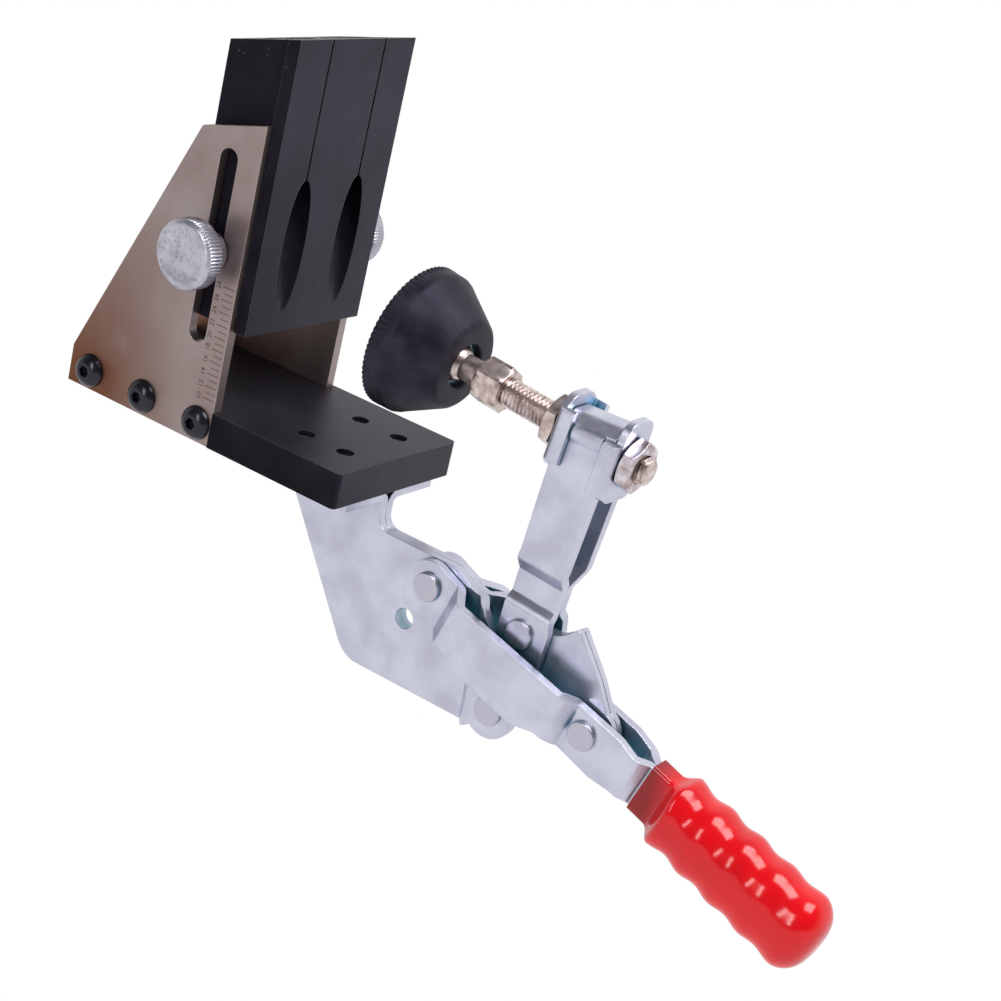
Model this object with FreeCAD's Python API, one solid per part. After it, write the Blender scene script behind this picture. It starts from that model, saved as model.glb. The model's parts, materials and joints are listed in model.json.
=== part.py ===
"""Pocket-hole drilling jig with a push-action toggle clamp, in millimetres.

Frame: the origin lies on the base plate's top face, midway across, in the plane of the guide
block's front face. +X runs from the block toward the clamp, +Y across the jig and +Z up.
The jig is symmetric about the plane Y = 0. "near" pieces lie at -Y and "far" pieces at +Y.
Every piece is modelled for the far side and mirrored where the other side needs it.
"""
import FreeCAD
import Part
import math
import os

Vector = FreeCAD.Vector
ALONG_X = Vector(1, 0, 0)
ALONG_Y = Vector(0, 1, 0)
ALONG_Z = Vector(0, 0, 1)

# Base plate
BASE_THICKNESS = 10.0
BASE_REAR = -57.0
BASE_FRONT = 40.2
BASE_HALF_WIDTH = 26.4                     # of its front half, below the board
BASE_CORNER = 1.5

# Side plates
PLATE_THICKNESS = 3.0
PLATE_OUTSIDE = 26.0                       # half the jig's width
PLATE_INSIDE = PLATE_OUTSIDE - PLATE_THICKNESS
PLATE_FRONT = -4.3
PLATE_TOP_REAR = (-25.2, 73.5)
PLATE_TOP_FRONT = 79.4
PLATE_REAR_TOP = 0.5
SLOT_X = -14.7
SLOT_HALF_WIDTH = 3.0
SLOT_LOW = 19.9
SLOT_HIGH = 67.4

# Guide block and drill guides
DRILL_TILT = 15.0                          # degrees from the block's front face
DRILL_RADIUS = 4.75
DRILL_HALF_PITCH = 11.2
DRILL_EXIT = 47.1                          # height where a drill's axis leaves the front face
BLOCK_BOTTOM = 23.1
BLOCK_TOP = 103.1
BLOCK_DEPTH = 24.0
BLOCK_HALF_WIDTH = 22.7
FLANGE_DEPTH = 4.0
FLANGE_HALF_WIDTH = 24.5
SIGHT_LINE_WIDTH = 0.8
SIGHT_LINE_DEPTH = 0.5
BUSH_RADIUS = 7.0
BUSH_LENGTH = 20.0

# M5 button head screws that hold the side plates
SCREW_RADIUS = 2.5
SCREW_CLEARANCE = 2.75
SCREW_LENGTH = 12.0
BUTTON_RADIUS = 4.75
BUTTON_HEIGHT = 2.6
BUTTON_RIM = 0.4
BUTTON_SOCKET = 3.0                        # across flats
BUTTON_SOCKET_DEPTH = 1.6
PLATE_SCREWS_X = (-49.5, -29.5, -9.5)
PLATE_SCREWS_Z = -4.7

# Thumb screws that lock the guide block
THUMB_HEIGHT = 42.5
THUMB_SHANK_RADIUS = 2.45
THUMB_THREAD_BORE = 2.5
THUMB_TIP = 15.2                           # distance of the screw's tip from the middle
THUMB_COLLAR_RADIUS = 5.5
THUMB_HEAD_RADIUS = 9.5
THUMB_HEAD_BACK = 32.0
THUMB_HEAD_FACE = 38.0

# Clamp: sheet thicknesses, rivets and pivots (x, z)
SHEET = 2.5
LINK_SHEET = 2.0
GAP = 0.3                                  # between pieces that move past each other
RIVET_RADIUS = 3.0
RIVET_BORE = 3.05
RIVET_HEAD_RADIUS = 4.1
RIVET_HEAD_HEIGHT = 1.2
PIVOT_HANDLE = (61.0, -28.1)
PIVOT_ARM = (89.2, -51.6)
PIVOT_SPACING = 23.0                       # from the arm's pivot to the link's pivot
ARM_LEAN = 4.75                            # degrees, the arm's lean away from the block
HANDLE_DIP = 17.0                          # degrees, the handle's slope below level
PIVOT_GRIP_LINK = (58.5, -1.24)            # link's outer pivot, along and across the handle
SPARE_HOLE = (54.3, -41.5)

# Distances of the sheet's inner faces from the middle plane
FRAME_ROOT_Y = 0.05
LINK_Y = 0.1
ARM_LOW_Y = LINK_Y + LINK_SHEET + GAP
FORK_Y = ARM_LOW_Y + SHEET + GAP
TAB_Y = FRAME_ROOT_Y + SHEET + GAP
WIDE_Y = FORK_Y + SHEET + RIVET_HEAD_HEIGHT + GAP
GRIP_LINK_Y = 3.3

# Clamp frame
FOOT_THICKNESS = SHEET
FOOT_REAR = 4.3
FOOT_FRONT = 39.5
FOOT_HALF_WIDTH = 19.2
FOOT_BEND = 1.5
FRAME_BOTTOM = -60.8
FRAME_TOP = -20.7
FRAME_LOBE = 7.9
FORK_FOLD_DISTANCE = 16.2                  # of the fold that spreads the fork, from the handle's pivot
FORK_FOLD_RUN = 3.8
FORK_FOLD_TURN = 4.0
FRAME_SCREWS_X = (17.0, 30.5)
FRAME_SCREWS_Y = 12.0
FRAME_SCREW_LENGTH = 11.0

# Clamping arm, along the arm from its pivot
ARM_LOOP_START = 79.6                      # where the legs bulge into the loop at the top
ARM_LOOP_TILT = -5.7
LOOP_INSIDE = 4.5                          # the loop's inside, coined square so that the spindle clears it
ARM_END_RADIUS = 6.0
ARM_LEG_Y = 4.25
ARM_NECK_Y = 0.05
WING_RELIEF = (3.1, 5.9)                   # across, beyond which the loop is cut flat for the wings
SPINDLE_ALONG = 78.8
SPINDLE_TILT = 1.42                        # degrees, raises the pad's end

# Spindle (M8), nuts and washers, across the arm from its pivot line
THREAD_RADIUS = 3.95
NUT_BORE = 4.0
NUT_FLATS = 13.0
NUT_HEIGHT = 4.2
WASHER_BORE = 4.2
WASHER_THICKNESS = 2.0
WASHER_HALF_WIDTH = 8.9
WASHER_BEND = 3.0
FRONT_WRAP = 3.3                           # how far the wings reach over the arm's legs
BACK_WRAP = 2.7
FRONT_WASHER_RADIUS = 10.5
FRONT_WING = 7.0
ARM_FACE_FRONT = -6.6
ARM_FACE_BACK = 8.8
STUD_END = 17.4
STUD_HEX = (-36.2, -27.9)
STUD_HEX_FLATS = 11.5
STUD_NECK_RADIUS = 3.6
BALL_AT = -46.4
BALL_RADIUS = 5.5
BALL_CLEARANCE = 0.1

# Swivel foot, measured from the ball's centre toward the block
PAD_FACE = 14.3
PAD_REAR = -4.1
PAD_RIM_RADIUS = 20.2
PAD_BAND = 5.2
PAD_BAND_RADIUS = 20.0
PAD_CONE_END = (-3.3, 12.6)
PAD_REAR_RADIUS = 11.5
CUP_RADIUS = 7.4
CUP_CUT = 1.8                              # how far behind the ball's centre the cup is cut off
FOOT_OPENING = 6.4

# Grip, along and across the handle from its pivot
GRIP_START = 78.3
GRIP_END = 137.7
GRIP_ACROSS = -2.75                        # of its middle line, at the first crest
GRIP_DROOP = 0.026                         # slope of its middle line to the handle
GRIP_HALF_WIDTH = 10.0                     # at the first crest
GRIP_FLARE = 0.018
GRIP_HALF_DEPTH = 9.6
GRIP_WAVE = 0.55
GRIP_WAVE_FADE = 0.005                     # how much the wave sinks over each millimetre
GRIP_WAVE_LENGTH = 10.5
GRIP_FIRST_CREST = 88.9
GRIP_NECK_LENGTH = 5.8                     # of the flat neck
GRIP_SHOULDER = 5.5                        # length over which the neck swells
GRIP_NECK_HALF_WIDTH = 7.8
GRIP_NECK_HALF_DEPTH = 3.6
GRIP_END_ROUND = 7.5
TANG_END = 128.0


def save(name, shape):
    """Write one piece as its own STEP file and report its size."""
    solid = shape.removeSplitter()
    if len(solid.Solids) == 1:
        solid = solid.Solids[0]
    box = solid.BoundBox
    print(name, solid.ShapeType, solid.isValid(), round(solid.Volume, 1),
          [round(v, 2) for v in (box.XMin, box.XMax, box.YMin, box.YMax, box.ZMin, box.ZMax)])
    solid.exportStep(os.path.join("parts", name + ".step"))


def mirrored(shape):
    """The same piece on the other side of the jig."""
    return shape.mirror(Vector(0, 0, 0), ALONG_Y)


def save_pair(name, shape):
    """Write the far piece and its mirror image, the near piece."""
    save(name + "_far", shape)
    save(name + "_near", mirrored(shape))


def rounded_wire(corners):
    """Closed wire through (a, b, radius) corners in the XY plane, with each corner rounded."""
    count = len(corners)
    edges = []
    starts = []
    for index, (a, b, radius) in enumerate(corners):
        corner = Vector(a, b, 0)
        before = Vector(*corners[index - 1][:2], 0)
        after = Vector(*corners[(index + 1) % count][:2], 0)
        if radius <= 0:
            starts.append((corner, corner))
            continue
        toward_before = (before - corner).normalize()
        toward_after = (after - corner).normalize()
        half = toward_before.getAngle(toward_after) / 2
        reach = radius / math.tan(half)
        first = corner + toward_before * reach
        last = corner + toward_after * reach
        bisector = (toward_before + toward_after).normalize()
        middle = corner + bisector * (radius / math.sin(half) - radius)
        edges.append((index, Part.Arc(first, middle, last).toShape()))
        starts.append((first, last))
    arcs = dict(edges)
    loop = []
    for index in range(count):
        if index in arcs:
            loop.append(arcs[index])
        leave = starts[index][1]
        reach_next = starts[(index + 1) % count][0]
        if leave.distanceToPoint(reach_next) > 1e-6:
            loop.append(Part.makeLine(leave, reach_next))
    return Part.Wire(loop)


def slab(corners, low, high):
    """Plate in the XZ plane with a rounded outline, from y = low to y = high."""
    face = Part.Face(rounded_wire(corners))
    solid = face.extrude(Vector(0, 0, high - low))
    solid.translate(Vector(0, 0, low))
    solid.rotate(Vector(0, 0, 0), ALONG_X, 90)
    return solid.mirror(Vector(0, 0, 0), ALONG_Y)


def rod(x, z, radius, low, high):
    """Cylinder along Y from y = low to y = high."""
    return Part.makeCylinder(radius, high - low, Vector(x, low, z), ALONG_Y)


def strip(line, thickness, bend, half_length):
    """Bent sheet: line holds (along, y) points of its inner face, extruded to both sides.

    The result lies along X, with its thickness away from Y = 0 and its width along Z.
    """
    normals = []
    for (a0, y0), (a1, y1) in zip(line, line[1:]):
        length = math.hypot(a1 - a0, y1 - y0)
        normals.append((-(y1 - y0) / length, (a1 - a0) / length))
    inner = [(*line[0], 0)]
    outer = [(line[0][0] + thickness * normals[0][0], line[0][1] + thickness * normals[0][1], 0)]
    for index in range(1, len(line) - 1):
        n0, n1 = normals[index - 1], normals[index]
        scale = thickness / (1 + n0[0] * n1[0] + n0[1] * n1[1])
        turn_left = n0[0] * n1[1] - n0[1] * n1[0] > 0
        a, y = line[index]
        inner.append((a, y, bend + thickness if turn_left else bend))
        outer.append((a + scale * (n0[0] + n1[0]), y + scale * (n0[1] + n1[1]),
                      bend if turn_left else bend + thickness))
    inner.append((*line[-1], 0))
    outer.append((line[-1][0] + thickness * normals[-1][0], line[-1][1] + thickness * normals[-1][1], 0))
    face = Part.Face(rounded_wire(inner + outer[::-1]))
    solid = face.extrude(Vector(0, 0, 2 * half_length))
    solid.translate(Vector(0, 0, -half_length))
    return solid


def place(shape, pivot, degrees):
    """Turn a piece drawn at the origin about Y and put it at a pivot; positive lifts +X."""
    shape.rotate(Vector(0, 0, 0), ALONG_Y, -degrees)
    shape.translate(Vector(pivot[0], 0, pivot[1]))
    return shape


def along_handle(along, across):
    """World (x, z) of a point given along and across the handle from its pivot."""
    turn = math.radians(-HANDLE_DIP)
    return (PIVOT_HANDLE[0] + along * math.cos(turn) - across * math.sin(turn),
            PIVOT_HANDLE[1] + along * math.sin(turn) + across * math.cos(turn))


def link_pivots():
    """World (x, z) of the link's two pivots, on the arm and on the handle."""
    lean = math.radians(ARM_LEAN)
    on_arm = (PIVOT_ARM[0] + PIVOT_SPACING * math.sin(lean),
              PIVOT_ARM[1] + PIVOT_SPACING * math.cos(lean))
    return on_arm, along_handle(*PIVOT_GRIP_LINK)


def hex_prism(flats, start, end):
    """Hexagonal bar along X, with chamfered ends, two of its flats facing +Y and -Y."""
    radius = flats / math.sqrt(3)
    ring = [Vector(0, radius * math.sin(math.radians(60 * n)), radius * math.cos(math.radians(60 * n)))
            for n in range(6)]
    face = Part.Face(Part.makePolygon(ring + ring[:1]))
    prism = face.extrude(Vector(end - start, 0, 0))
    prism.translate(Vector(start, 0, 0))
    chamfer = flats * 0.06
    half = flats / 2 + chamfer * 0.2
    profile = Part.makePolygon([Vector(start, 0, 0), Vector(start, half - chamfer, 0),
                                Vector(start + chamfer, half + chamfer, 0),
                                Vector(end - chamfer, half + chamfer, 0),
                                Vector(end, half - chamfer, 0), Vector(end, 0, 0),
                                Vector(start, 0, 0)])
    turned = Part.Face(profile).revolve(Vector(0, 0, 0), ALONG_X, 360)
    return prism.common(turned)


def rivet(x, z, head_inner, radius=RIVET_RADIUS):
    """Rivet along Y with a domed head outside head_inner on each side."""
    shank = rod(x, z, radius, -head_inner, head_inner)
    head = rod(x, z, RIVET_HEAD_RADIUS, head_inner, head_inner + RIVET_HEAD_HEIGHT)
    rim = [edge for edge in head.Edges if abs(edge.CenterOfMass.y - head_inner - RIVET_HEAD_HEIGHT) < 1e-6]
    head = head.makeFillet(RIVET_HEAD_HEIGHT * 0.45, rim)
    return shank.fuse([head, mirrored(head)])


def base_plate():
    """Black plate that carries the side plates and, below its front half, the clamp."""
    rear, front = BASE_REAR, BASE_FRONT
    step = PLATE_FRONT
    outline = [(rear, -PLATE_INSIDE, 0), (step, -PLATE_INSIDE, 0), (step, -BASE_HALF_WIDTH, 0),
               (front, -BASE_HALF_WIDTH, BASE_CORNER), (front, BASE_HALF_WIDTH, BASE_CORNER),
               (step, BASE_HALF_WIDTH, 0), (step, PLATE_INSIDE, 0), (rear, PLATE_INSIDE, 0)]
    plate = Part.Face(rounded_wire(outline)).extrude(Vector(0, 0, -BASE_THICKNESS))
    cuts = [rod(x, PLATE_SCREWS_Z, SCREW_RADIUS, PLATE_INSIDE - SCREW_LENGTH + PLATE_THICKNESS,
                PLATE_INSIDE + 1) for x in PLATE_SCREWS_X]
    cuts += [mirrored(cut) for cut in cuts]
    cuts += [Part.makeCylinder(SCREW_RADIUS, BASE_THICKNESS + 2, Vector(x, y, -BASE_THICKNESS - 1))
             for x in FRAME_SCREWS_X for y in (-FRAME_SCREWS_Y, FRAME_SCREWS_Y)]
    save("base_plate", plate.cut(cuts))


def side_plates():
    """Steel plates with a sloping rear edge and the slot that the guide block slides along."""
    rear_x, rear_z = PLATE_TOP_REAR
    outline = [(BASE_REAR, -BASE_THICKNESS, 0), (PLATE_FRONT, -BASE_THICKNESS, 0),
               (PLATE_FRONT, PLATE_TOP_FRONT, 0), (rear_x, rear_z, 1.0), (BASE_REAR, PLATE_REAR_TOP, 1.0)]
    plate = slab(outline, PLATE_INSIDE, PLATE_OUTSIDE)
    slot = [(SLOT_X - SLOT_HALF_WIDTH, SLOT_LOW - SLOT_HALF_WIDTH, SLOT_HALF_WIDTH - 0.001),
            (SLOT_X + SLOT_HALF_WIDTH, SLOT_LOW - SLOT_HALF_WIDTH, SLOT_HALF_WIDTH - 0.001),
            (SLOT_X + SLOT_HALF_WIDTH, SLOT_HIGH + SLOT_HALF_WIDTH, SLOT_HALF_WIDTH - 0.001),
            (SLOT_X - SLOT_HALF_WIDTH, SLOT_HIGH + SLOT_HALF_WIDTH, SLOT_HALF_WIDTH - 0.001)]
    cuts = [slab(slot, PLATE_INSIDE - 1, PLATE_OUTSIDE + 1)]
    cuts += [rod(x, PLATE_SCREWS_Z, SCREW_CLEARANCE, PLATE_INSIDE - 1, PLATE_OUTSIDE + 1)
             for x in PLATE_SCREWS_X]
    plate = plate.cut(cuts)
    save("side_plate_far", plate)
    save("side_plate_near", plate.translated(Vector(0, -PLATE_INSIDE - PLATE_OUTSIDE, 0)))


def button_screw(length):
    """Button head screw along +Y at the origin: its head stands on y = 0 and its shank lies below."""
    head_edge = BUTTON_SOCKET * 0.8
    outline = [Part.makeLine(Vector(0, 0, 0), Vector(BUTTON_RADIUS, 0, 0)),
               Part.makeLine(Vector(BUTTON_RADIUS, 0, 0), Vector(BUTTON_RADIUS, BUTTON_RIM, 0)),
               Part.Arc(Vector(BUTTON_RADIUS, BUTTON_RIM, 0),
                        Vector(BUTTON_RADIUS * 0.78, BUTTON_HEIGHT * 0.75, 0),
                        Vector(head_edge, BUTTON_HEIGHT, 0)).toShape(),
               Part.makeLine(Vector(head_edge, BUTTON_HEIGHT, 0), Vector(0, BUTTON_HEIGHT, 0)),
               Part.makeLine(Vector(0, BUTTON_HEIGHT, 0), Vector(0, 0, 0))]
    head = Part.Face(Part.Wire(outline)).revolve(Vector(0, 0, 0), ALONG_Y, 360)
    corner = BUTTON_SOCKET / math.sqrt(3)
    floor = BUTTON_HEIGHT - BUTTON_SOCKET_DEPTH
    ring = [Vector(corner * math.cos(math.radians(60 * n)), floor, corner * math.sin(math.radians(60 * n)))
            for n in range(6)]
    socket = Part.Face(Part.makePolygon(ring + ring[:1])).extrude(Vector(0, BUTTON_HEIGHT, 0))
    shank = Part.makeCylinder(SCREW_RADIUS, length, Vector(0, -length, 0), ALONG_Y)
    return head.cut(socket).fuse(shank)


def plate_screws():
    """Screws through the side plates into the base plate's edges."""
    for number, x in enumerate(PLATE_SCREWS_X, 1):
        screw = button_screw(SCREW_LENGTH)
        screw.translate(Vector(x, PLATE_OUTSIDE, PLATE_SCREWS_Z))
        save("plate_screw_far_%d" % number, screw)
        save("plate_screw_near_%d" % number, mirrored(screw))


def drill_axis_rod(side, radius, start, length):
    """Cylinder on a drill's axis; start is its distance up the axis from the front face."""
    tilt = math.radians(DRILL_TILT)
    direction = Vector(-math.sin(tilt), 0, math.cos(tilt))
    foot = Vector(0, side * DRILL_HALF_PITCH, DRILL_EXIT) + direction * start
    return Part.makeCylinder(radius, length, foot, direction)


def guide_block():
    """Sliding block with two steep drill guides that break out of its front face."""
    tilt = math.radians(DRILL_TILT)
    top_rear = BLOCK_TOP - BLOCK_DEPTH * math.tan(tilt)
    top_flange = BLOCK_TOP - FLANGE_DEPTH * math.tan(tilt)
    body = slab([(-BLOCK_DEPTH, BLOCK_BOTTOM, 0), (0, BLOCK_BOTTOM, 0), (0, BLOCK_TOP, 0),
                 (-BLOCK_DEPTH, top_rear, 0)], -BLOCK_HALF_WIDTH, BLOCK_HALF_WIDTH)
    flange = slab([(-FLANGE_DEPTH, BLOCK_BOTTOM, 0), (0, BLOCK_BOTTOM, 0), (0, BLOCK_TOP, 0),
                   (-FLANGE_DEPTH, top_flange, 0)], -FLANGE_HALF_WIDTH, FLANGE_HALF_WIDTH)
    axis_top = (BLOCK_TOP - DRILL_EXIT) * math.cos(tilt)
    cuts = []
    for side in (-1, 1):
        y = side * DRILL_HALF_PITCH
        cuts.append(drill_axis_rod(side, DRILL_RADIUS, -30, axis_top + 40))
        cuts.append(drill_axis_rod(side, BUSH_RADIUS, axis_top - BUSH_LENGTH, BUSH_LENGTH + 5))
        cuts.append(Part.makeBox(SIGHT_LINE_DEPTH + 1, SIGHT_LINE_WIDTH, BLOCK_TOP,
                                 Vector(-SIGHT_LINE_DEPTH, y - SIGHT_LINE_WIDTH / 2, DRILL_EXIT + 10)))
        cuts.append(rod(SLOT_X, THUMB_HEIGHT, THUMB_THREAD_BORE, 14.5, 30) if side > 0
                    else rod(SLOT_X, THUMB_HEIGHT, THUMB_THREAD_BORE, -30, -14.5))
    save("guide_block", body.fuse(flange).removeSplitter().cut(cuts))
    bush = drill_axis_rod(1, BUSH_RADIUS, axis_top - BUSH_LENGTH, BUSH_LENGTH - 0.2)
    bush = bush.cut(drill_axis_rod(1, DRILL_RADIUS, -30, axis_top + 40))
    save_pair("drill_bush", bush)


def thumb_screws():
    """Knurled screws through the side plates' slots into the guide block."""
    head = rod(SLOT_X, THUMB_HEIGHT, THUMB_HEAD_RADIUS, THUMB_HEAD_BACK, THUMB_HEAD_FACE)
    head = head.makeChamfer(0.6, [edge for edge in head.Edges if edge.Length > 50 and
                                  len(edge.Vertexes) == 1])
    collar = rod(SLOT_X, THUMB_HEIGHT, THUMB_COLLAR_RADIUS, PLATE_OUTSIDE + GAP, THUMB_HEAD_BACK)
    shank = rod(SLOT_X, THUMB_HEIGHT, THUMB_SHANK_RADIUS, THUMB_TIP, PLATE_OUTSIDE + GAP)
    save_pair("thumb_screw", head.fuse([collar, shank]))


def clamp_frame():
    """Two bent plates, back to back below the base and spread into a fork round the arm."""
    cx, cz = PIVOT_ARM
    top = -BASE_THICKNESS
    outline = [(FOOT_REAR, top - FOOT_THICKNESS, 0), (37.6, FRAME_BOTTOM, 9),
               (80.4, FRAME_BOTTOM, 1.5), (85.2, cz - 6.0, 0), (cx + FRAME_LOBE * 0.82, cz + 1, 0),
               (80.4, -24.6, 5), (74.6, -25.0, 6), (67.0, FRAME_TOP, 5), (FOOT_FRONT, FRAME_TOP, 4),
               (FOOT_FRONT, top - FOOT_THICKNESS, 0)]
    web_outline = slab(outline, 0, 20).fuse(rod(cx, cz, FRAME_LOBE, 0, 20)).removeSplitter()
    start, end = FORK_FOLD_DISTANCE, FORK_FOLD_DISTANCE + FORK_FOLD_RUN
    sheet = strip([(-80, FRAME_ROOT_Y), (start, FRAME_ROOT_Y), (end, FORK_Y), (60, FORK_Y)],
                  SHEET, 0.8, 80)
    sheet = place(sheet, PIVOT_HANDLE, FORK_FOLD_TURN)
    web = sheet.common(web_outline)
    foot = [(FRAME_ROOT_Y, top - 12, 0), (FRAME_ROOT_Y, top, FOOT_BEND + SHEET),
            (FOOT_HALF_WIDTH, top, 0), (FOOT_HALF_WIDTH, top - SHEET, 0),
            (FRAME_ROOT_Y + SHEET, top - SHEET, FOOT_BEND), (FRAME_ROOT_Y + SHEET, top - 12, 0)]
    flange = Part.Face(rounded_wire(foot)).extrude(Vector(0, 0, FOOT_FRONT - FOOT_REAR))
    flange.rotate(Vector(0, 0, 0), Vector(1, 1, 1), 120)
    flange.translate(Vector(FOOT_REAR, 0, 0))
    below = slab([(FOOT_REAR, 5, 0), (FOOT_REAR, top - FOOT_THICKNESS, 0), (11.9, top - 12, 0),
                  (FOOT_FRONT, top - 12, 0), (FOOT_FRONT, 5, 0)], -5, 30)
    flange = flange.common(below)
    # The web stops below the bend, where the flange takes over.
    keep = Part.makeBox(200, 40, 100, Vector(-50, -5, top - 4 - 100))
    frame = web.common(keep).fuse(flange)
    holes = [rod(x, z, RIVET_RADIUS, -1, 20) for x, z in (PIVOT_HANDLE, PIVOT_ARM, SPARE_HOLE)]
    holes += [Part.makeCylinder(SCREW_CLEARANCE, 20, Vector(x, FRAME_SCREWS_Y, top - 10))
              for x in FRAME_SCREWS_X]
    save_pair("clamp_frame", frame.cut(holes))
    save("handle_pivot_rivet", rivet(*PIVOT_HANDLE, TAB_Y + SHEET + GAP / 2))
    save("arm_pivot_rivet", rivet(*PIVOT_ARM, FORK_Y + SHEET))


def frame_screws():
    """Screws from below, through the clamp's feet into the base plate."""
    places = [(x, y) for x in FRAME_SCREWS_X for y in (-FRAME_SCREWS_Y, FRAME_SCREWS_Y)]
    for number, (x, y) in enumerate(places, 1):
        screw = button_screw(FRAME_SCREW_LENGTH)
        screw.rotate(Vector(0, 0, 0), ALONG_X, -90)
        screw.translate(Vector(x, y, -BASE_THICKNESS - FOOT_THICKNESS))
        save("frame_screw_%d" % number, screw)


def arm_shape():
    """Half of the clamping arm at the origin, upright along X, thickness toward +Y."""
    start = ARM_LOOP_START
    line = [(-20, ARM_LOW_Y), (28.9, ARM_LOW_Y), (31.2, ARM_NECK_Y), (39.8, ARM_NECK_Y),
            (44.1, ARM_LEG_Y), (start, ARM_LEG_Y), (start + 2.1, 5.6), (start + LOOP_INSIDE, 2.4),
            (start + LOOP_INSIDE, 0)]
    sheet = strip(line, SHEET, 0.6, 20)
    loop = sheet.copy()
    loop.rotate(Vector(start, 0, 0), ALONG_Y, ARM_LOOP_TILT)
    upper = Part.makeBox(60, 40, 60, Vector(start - 10, -5, -30))
    front, back = WING_RELIEF
    outside = ARM_LEG_Y + SHEET
    inside = Part.makeBox(LOOP_INSIDE, ARM_LEG_Y, 40, Vector(start, 0, -20))
    reliefs = [Part.makeBox(20, 20, 20, Vector(start - 4, outside, front)),
               Part.makeBox(20, 20, 20, Vector(start - 4, outside, -back - 20))]
    inside.rotate(Vector(start, 0, 0), ALONG_Y, ARM_LOOP_TILT)
    return sheet.cut(upper).fuse(loop.common(upper).cut(reliefs + [inside]))


def arm_bar():
    """Clamping arm: one steel strip folded into a hairpin, pinched into a neck and spread again."""
    # Outline: first value along the arm, second across it toward the block. The edges that carry the
    # washers are square to the spindle, which is tilted.
    slope = math.tan(math.radians(SPINDLE_TILT))
    far_end = ARM_LOOP_START + 14
    outline = [(-0.5, -ARM_END_RADIUS, 0), (9, -8.0, 12), (26, -8.0, 4), (31.5, -6.7, 4), (39, -6.7, 4),
               (45, -ARM_FACE_BACK - (45 - SPINDLE_ALONG) * slope, 4),
               (far_end, -ARM_FACE_BACK - (far_end - SPINDLE_ALONG) * slope, 0),
               (far_end, -ARM_FACE_FRONT - (far_end - SPINDLE_ALONG) * slope, 0),
               (68, -ARM_FACE_FRONT - (68 - SPINDLE_ALONG) * slope, 20),
               (46, 6.6, 6), (38, 7.4, 6), (30, 7.2, 10), (5, 6.2, 12), (-0.5, ARM_END_RADIUS, 0)]
    plan = slab(outline, -15, 15).fuse(rod(0, 0, ARM_END_RADIUS, -15, 15))
    half = arm_shape().common(plan)
    whole = half.fuse(mirrored(half)).removeSplitter()
    whole = whole.cut([rod(0, 0, RIVET_BORE, -10, 10), rod(PIVOT_SPACING, 0, RIVET_RADIUS, -10, 10)])
    save("arm_bar", place(whole, PIVOT_ARM, 90 - ARM_LEAN))
    on_arm, _ = link_pivots()
    save("link_pivot_rivet", rivet(*on_arm, ARM_LOW_Y + SHEET))


def links():
    """Pair of hooked links that join the arm to the handle."""
    (dx, dz), (ex, ez) = link_pivots()
    outline = [(dx - 2.0, dz - 5.1, 0), (dx + 4, dz + 4.6, 2), (99.3, -28.6, 5), (102.3, -24.9, 4),
               (106.4, -21.4, 0.8), (108.4, -23.8, 1.0), (115.4, -32.3, 20), (121.6, -42.2, 4),
               (ex + 7.2, ez + 1.5, 0), (ex - 5.2, ez - 5.2, 0)]
    plate = slab(outline, LINK_Y, LINK_Y + LINK_SHEET)
    plate = plate.fuse([rod(dx, dz, 5.5, LINK_Y, LINK_Y + LINK_SHEET),
                        rod(ex, ez, 7.4, LINK_Y, LINK_Y + LINK_SHEET)]).removeSplitter()
    plate = plate.cut([rod(dx, dz, RIVET_BORE, -1, 5), rod(ex, ez, RIVET_RADIUS, -1, 5)])
    save_pair("link", plate)
    save("link_barrel", rod(ex, ez, RIVET_RADIUS, -GRIP_LINK_Y + 0.4, GRIP_LINK_Y - 0.4))


def handle():
    """Pair of handle plates, bent round the fork and meeting in a tang inside the grip."""
    line = [(-20, TAB_Y), (8.8, TAB_Y), (13.6, WIDE_Y), (48.9, WIDE_Y), (52.6, GRIP_LINK_Y),
            (73.2, GRIP_LINK_Y), (76.7, FRAME_ROOT_Y), (TANG_END, FRAME_ROOT_Y)]
    sheet = strip(line, SHEET, 0.8, 30)
    outline = [(0, -8.9, 0), (9.6, -8.9, 3), (14.2, -7.6, 3), (19, -9.8, 5), (29, -10.3, 0), (42, -10.2, 5),
               (49.3, -6.7, 3), (53.2, -8.9, 3), (66, -9.4, 5), (73.0, -8.2, 5), (79, -9.4, 3),
               (TANG_END + 1, -8.0, 6), (TANG_END + 1, 2.5, 5), (79, 4.0, 3), (73.5, 4.0, 4),
               (67.5, 5.4, 5), (53.2, 5.2, 2), (49.3, 6.7, 2), (14, 5.8, 3), (0, 7.2, 0)]
    plan = slab(outline, -5, 20).fuse(rod(0, 0, 7.3, -5, 20))
    plan = plan.fuse(slab([(-4.5, -8.9, 3), (3, -8.9, 0), (3, 0, 0), (-7.3, 0, 0)], -5, 20))
    plate = sheet.common(plan.removeSplitter())
    along, across = PIVOT_GRIP_LINK
    plate = plate.cut([rod(0, 0, RIVET_BORE, -1, 20), rod(along, across, RIVET_RADIUS, -1, 20)])
    save_pair("handle_plate", place(plate, PIVOT_HANDLE, -HANDLE_DIP))
    x, z = along_handle(along, across)
    whole = rivet(x, z, GRIP_LINK_Y + SHEET)
    far = whole.common(Part.makeBox(40, 40, 40, Vector(x - 20, GRIP_LINK_Y, z - 20)))
    save_pair("handle_rivet", far)


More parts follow.
